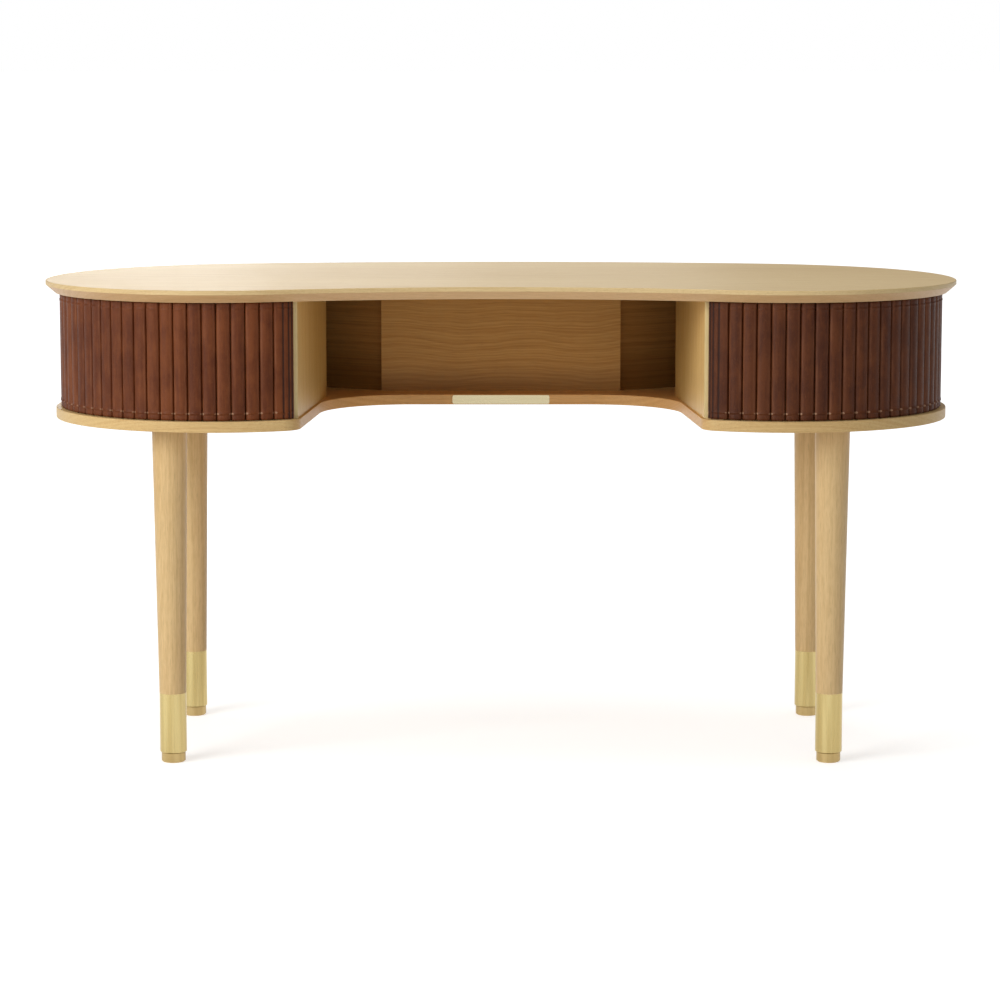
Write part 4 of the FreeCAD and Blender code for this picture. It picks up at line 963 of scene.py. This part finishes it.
SCREW_SEED = 7
SCREW_SIDES = 32
HEAD_EASE_SHARE = 0.90
HEAD_EASE_HEIGHT = 0.0006
POINT_LENGTH = 0.006
POINT_TIP = 0.0003


def make_screws():
    """Flat headed screws with a cross recess, seen from under the shelf."""
    profile = [
        (SCREW_HEAD * HEAD_EASE_SHARE, 0.0),
        (SCREW_HEAD, HEAD_EASE_HEIGHT),
        (SCREW_HEAD, SCREW_HEAD_HEIGHT),
        (SCREW_SHANK, SCREW_HEAD_HEIGHT),
        (SCREW_SHANK, SCREW_LENGTH - POINT_LENGTH),
        (POINT_TIP, SCREW_LENGTH),
    ]
    screw = link("screw", turned_mesh("screw", profile, SCREW_SIDES))
    cutter = link("driver_cross", cross_cutter("driver_cross"))
    press = screw.modifiers.new("recess", "BOOLEAN")
    press.operation = "DIFFERENCE"
    press.use_self = True
    press.object = cutter
    graph = bpy.context.evaluated_depsgraph_get()
    recessed = bpy.data.meshes.new_from_object(screw.evaluated_get(graph))
    screw.modifiers.remove(press)
    screw.data = recessed
    places = [(sign * x, y, SHELF_UNDER) for sign in SIDES.values() for x, y in SCREW_PLACES]
    values = {"Screw": screw, "Seed": SCREW_SEED, "Steel": STEEL}
    screws = screw_pattern().run("cross_screws", places, values)
    dress(screws, "carcass", "fixing_steel", "shelf_screws")
    bpy.data.objects.remove(screw)
    bpy.data.objects.remove(cutter)


make_covers()
for side in SIDES:
    make_canvas(side)
make_screws()

# Camera at the photograph's place
CAMERA_PLACE = (-0.0016, -5.604, 1.148)
CAMERA_TILT = 90.0 - 7.69
CAMERA_LENS = 122.4
SENSOR_WIDTH = 36.0

view = bpy.data.cameras.new("view")
view.lens = CAMERA_LENS
view.sensor_width = SENSOR_WIDTH
camera = link("camera", view)
camera.location = CAMERA_PLACE
camera.rotation_euler = (math.radians(CAMERA_TILT), 0.0, 0.0)
bpy.context.scene.camera = camera

# Point that the lamps are turned towards
DESK_MIDDLE = (0.0, -0.05, 0.55)


def soft_box(name, place, width, height, power):
    """Rectangular studio light turned towards the desk."""
    lamp = bpy.data.lights.new(name, "AREA")
    lamp.shape = "RECTANGLE"
    lamp.size = width
    lamp.size_y = height
    lamp.energy = power
    made = link(name, lamp)
    made.location = place
    made.rotation_euler = (Vector(DESK_MIDDLE) - Vector(place)).to_track_quat("-Z", "Y").to_euler()
    made.visible_camera = False


WHITE = (1.0, 1.0, 1.0, 1.0)

# Floor: its size and tone, its glow near the desk and far off, and how much of it shiny pieces show
FLOOR_HALF = 120.0
FLOOR_TONE = (0.80, 0.80, 0.80, 1.0)
GLOW_START = 1.2
GLOW_END = 5.0
GLOW_NEAR = 0.56
GLOW_FAR = 0.90
SHINE_NEAR = -1.2
SHINE_FAR = -3.6
SHINE_LEAST = 0.60


def studio_floor():
    """Pale floor that reads white and keeps the object's soft shadow."""
    mesh = bpy.data.meshes.new("floor")
    half = FLOOR_HALF
    corners = [(-half, -half, 0.0), (half, -half, 0.0), (half, half, 0.0), (-half, half, 0.0)]
    mesh.from_pydata(corners, [], [(0, 1, 2, 3)])
    floor = link("floor", mesh)
    finish = Finish("floor_white")
    away = finish.node("VectorMath", operation="LENGTH")
    finish.feed(away.inputs[0], finish.coordinates())
    glow = finish.span(away.outputs["Value"], GLOW_START, GLOW_END, GLOW_NEAR, GLOW_FAR)
    seen = finish.node("LightPath").outputs
    shine = finish.span(backward(finish), SHINE_FAR, SHINE_NEAR, SHINE_LEAST, 1.0)
    mirrored = finish.sum("MAXIMUM", seen["Is Glossy Ray"], seen["Is Transmission Ray"])
    direct = finish.sum("MAXIMUM", seen["Is Camera Ray"], finish.sum("MULTIPLY", mirrored, shine))
    finish.set(
        Base_Color=FLOOR_TONE,
        Roughness=0.9,
        Specular_IOR_Level=0.1,
        Emission_Color=WHITE,
        Emission_Strength=finish.sum("MULTIPLY", direct, glow),
    )
    mesh.materials.append(finish.material)


# Surroundings: their even light, and the way to the white that shiny pieces show
ROOM_LIGHT = 0.31
BACKDROP_WAY = (-0.139, 0.990, 0.0)
BACKDROP_EDGE = 0.970
BACKDROP_FULL = 0.9994


def studio_world():
    """White behind the object, which shiny surfaces show too, and a dimmer even light from all round."""
    world = bpy.data.worlds.new("studio")
    world.use_nodes = True
    tree = world.node_tree
    tree.nodes.clear()
    path = tree.nodes.new("ShaderNodeLightPath").outputs
    way = tree.nodes.new("ShaderNodeVectorMath")
    way.operation = "DOT_PRODUCT"
    tree.links.new(tree.nodes.new("ShaderNodeTexCoord").outputs["Generated"], way.inputs[0])
    way.inputs[1].default_value = BACKDROP_WAY

    def join(operation, first, second):
        made = tree.nodes.new("ShaderNodeMath")
        made.operation = operation
        tree.links.new(first, made.inputs[0])
        tree.links.new(second, made.inputs[1])
        return made.outputs[0]

    def span(value, low, high, least):
        made = tree.nodes.new("ShaderNodeMapRange")
        made.inputs["From Min"].default_value = low
        made.inputs["From Max"].default_value = high
        made.inputs["To Min"].default_value = least
        tree.links.new(value, made.inputs["Value"])
        return made.outputs["Result"]

    behind = span(way.outputs["Value"], BACKDROP_EDGE, BACKDROP_FULL, 0.0)
    mirrored = join("MAXIMUM", path["Is Glossy Ray"], path["Is Transmission Ray"])
    shown = join("MAXIMUM", path["Is Camera Ray"], join("MULTIPLY", mirrored, behind))
    background = tree.nodes.new("ShaderNodeBackground")
    background.inputs["Color"].default_value = WHITE
    tree.links.new(span(shown, 0.0, 1.0, ROOM_LIGHT), background.inputs["Strength"])
    output = tree.nodes.new("ShaderNodeOutputWorld")
    tree.links.new(background.outputs[0], output.inputs["Surface"])
    bpy.context.scene.world = world


# Lamps behind, which start at the same left end and reach further and further right: ends and powers
SHEEN_START = -1.3
SHEEN_BACK = 3.4
SHEEN_HIGH = 1.5
SHEEN_TALL = 1.6
SHEEN_ENDS = [(-0.62, 3.8), (-0.10, 2.9), (0.60, 5.2)]

studio_floor()
studio_world()
soft_box("key_light", place=(-3.0, -2.8, 2.3), width=2.4, height=2.4, power=104.0)
soft_box("fill_light", place=(0.8, -4.8, 1.8), width=2.6, height=2.6, power=18.0)
soft_box("top_light", place=(0.0, 0.3, 3.6), width=3.6, height=2.4, power=42.0)
for number, (end, power) in enumerate(SHEEN_ENDS):
    reach = end - SHEEN_START
    place = (SHEEN_START + reach / 2, SHEEN_BACK, SHEEN_HIGH)
    soft_box("sheen_light_%d" % number, place, width=reach, height=SHEEN_TALL, power=power)
bpy.context.scene.view_settings.view_transform = "Standard"
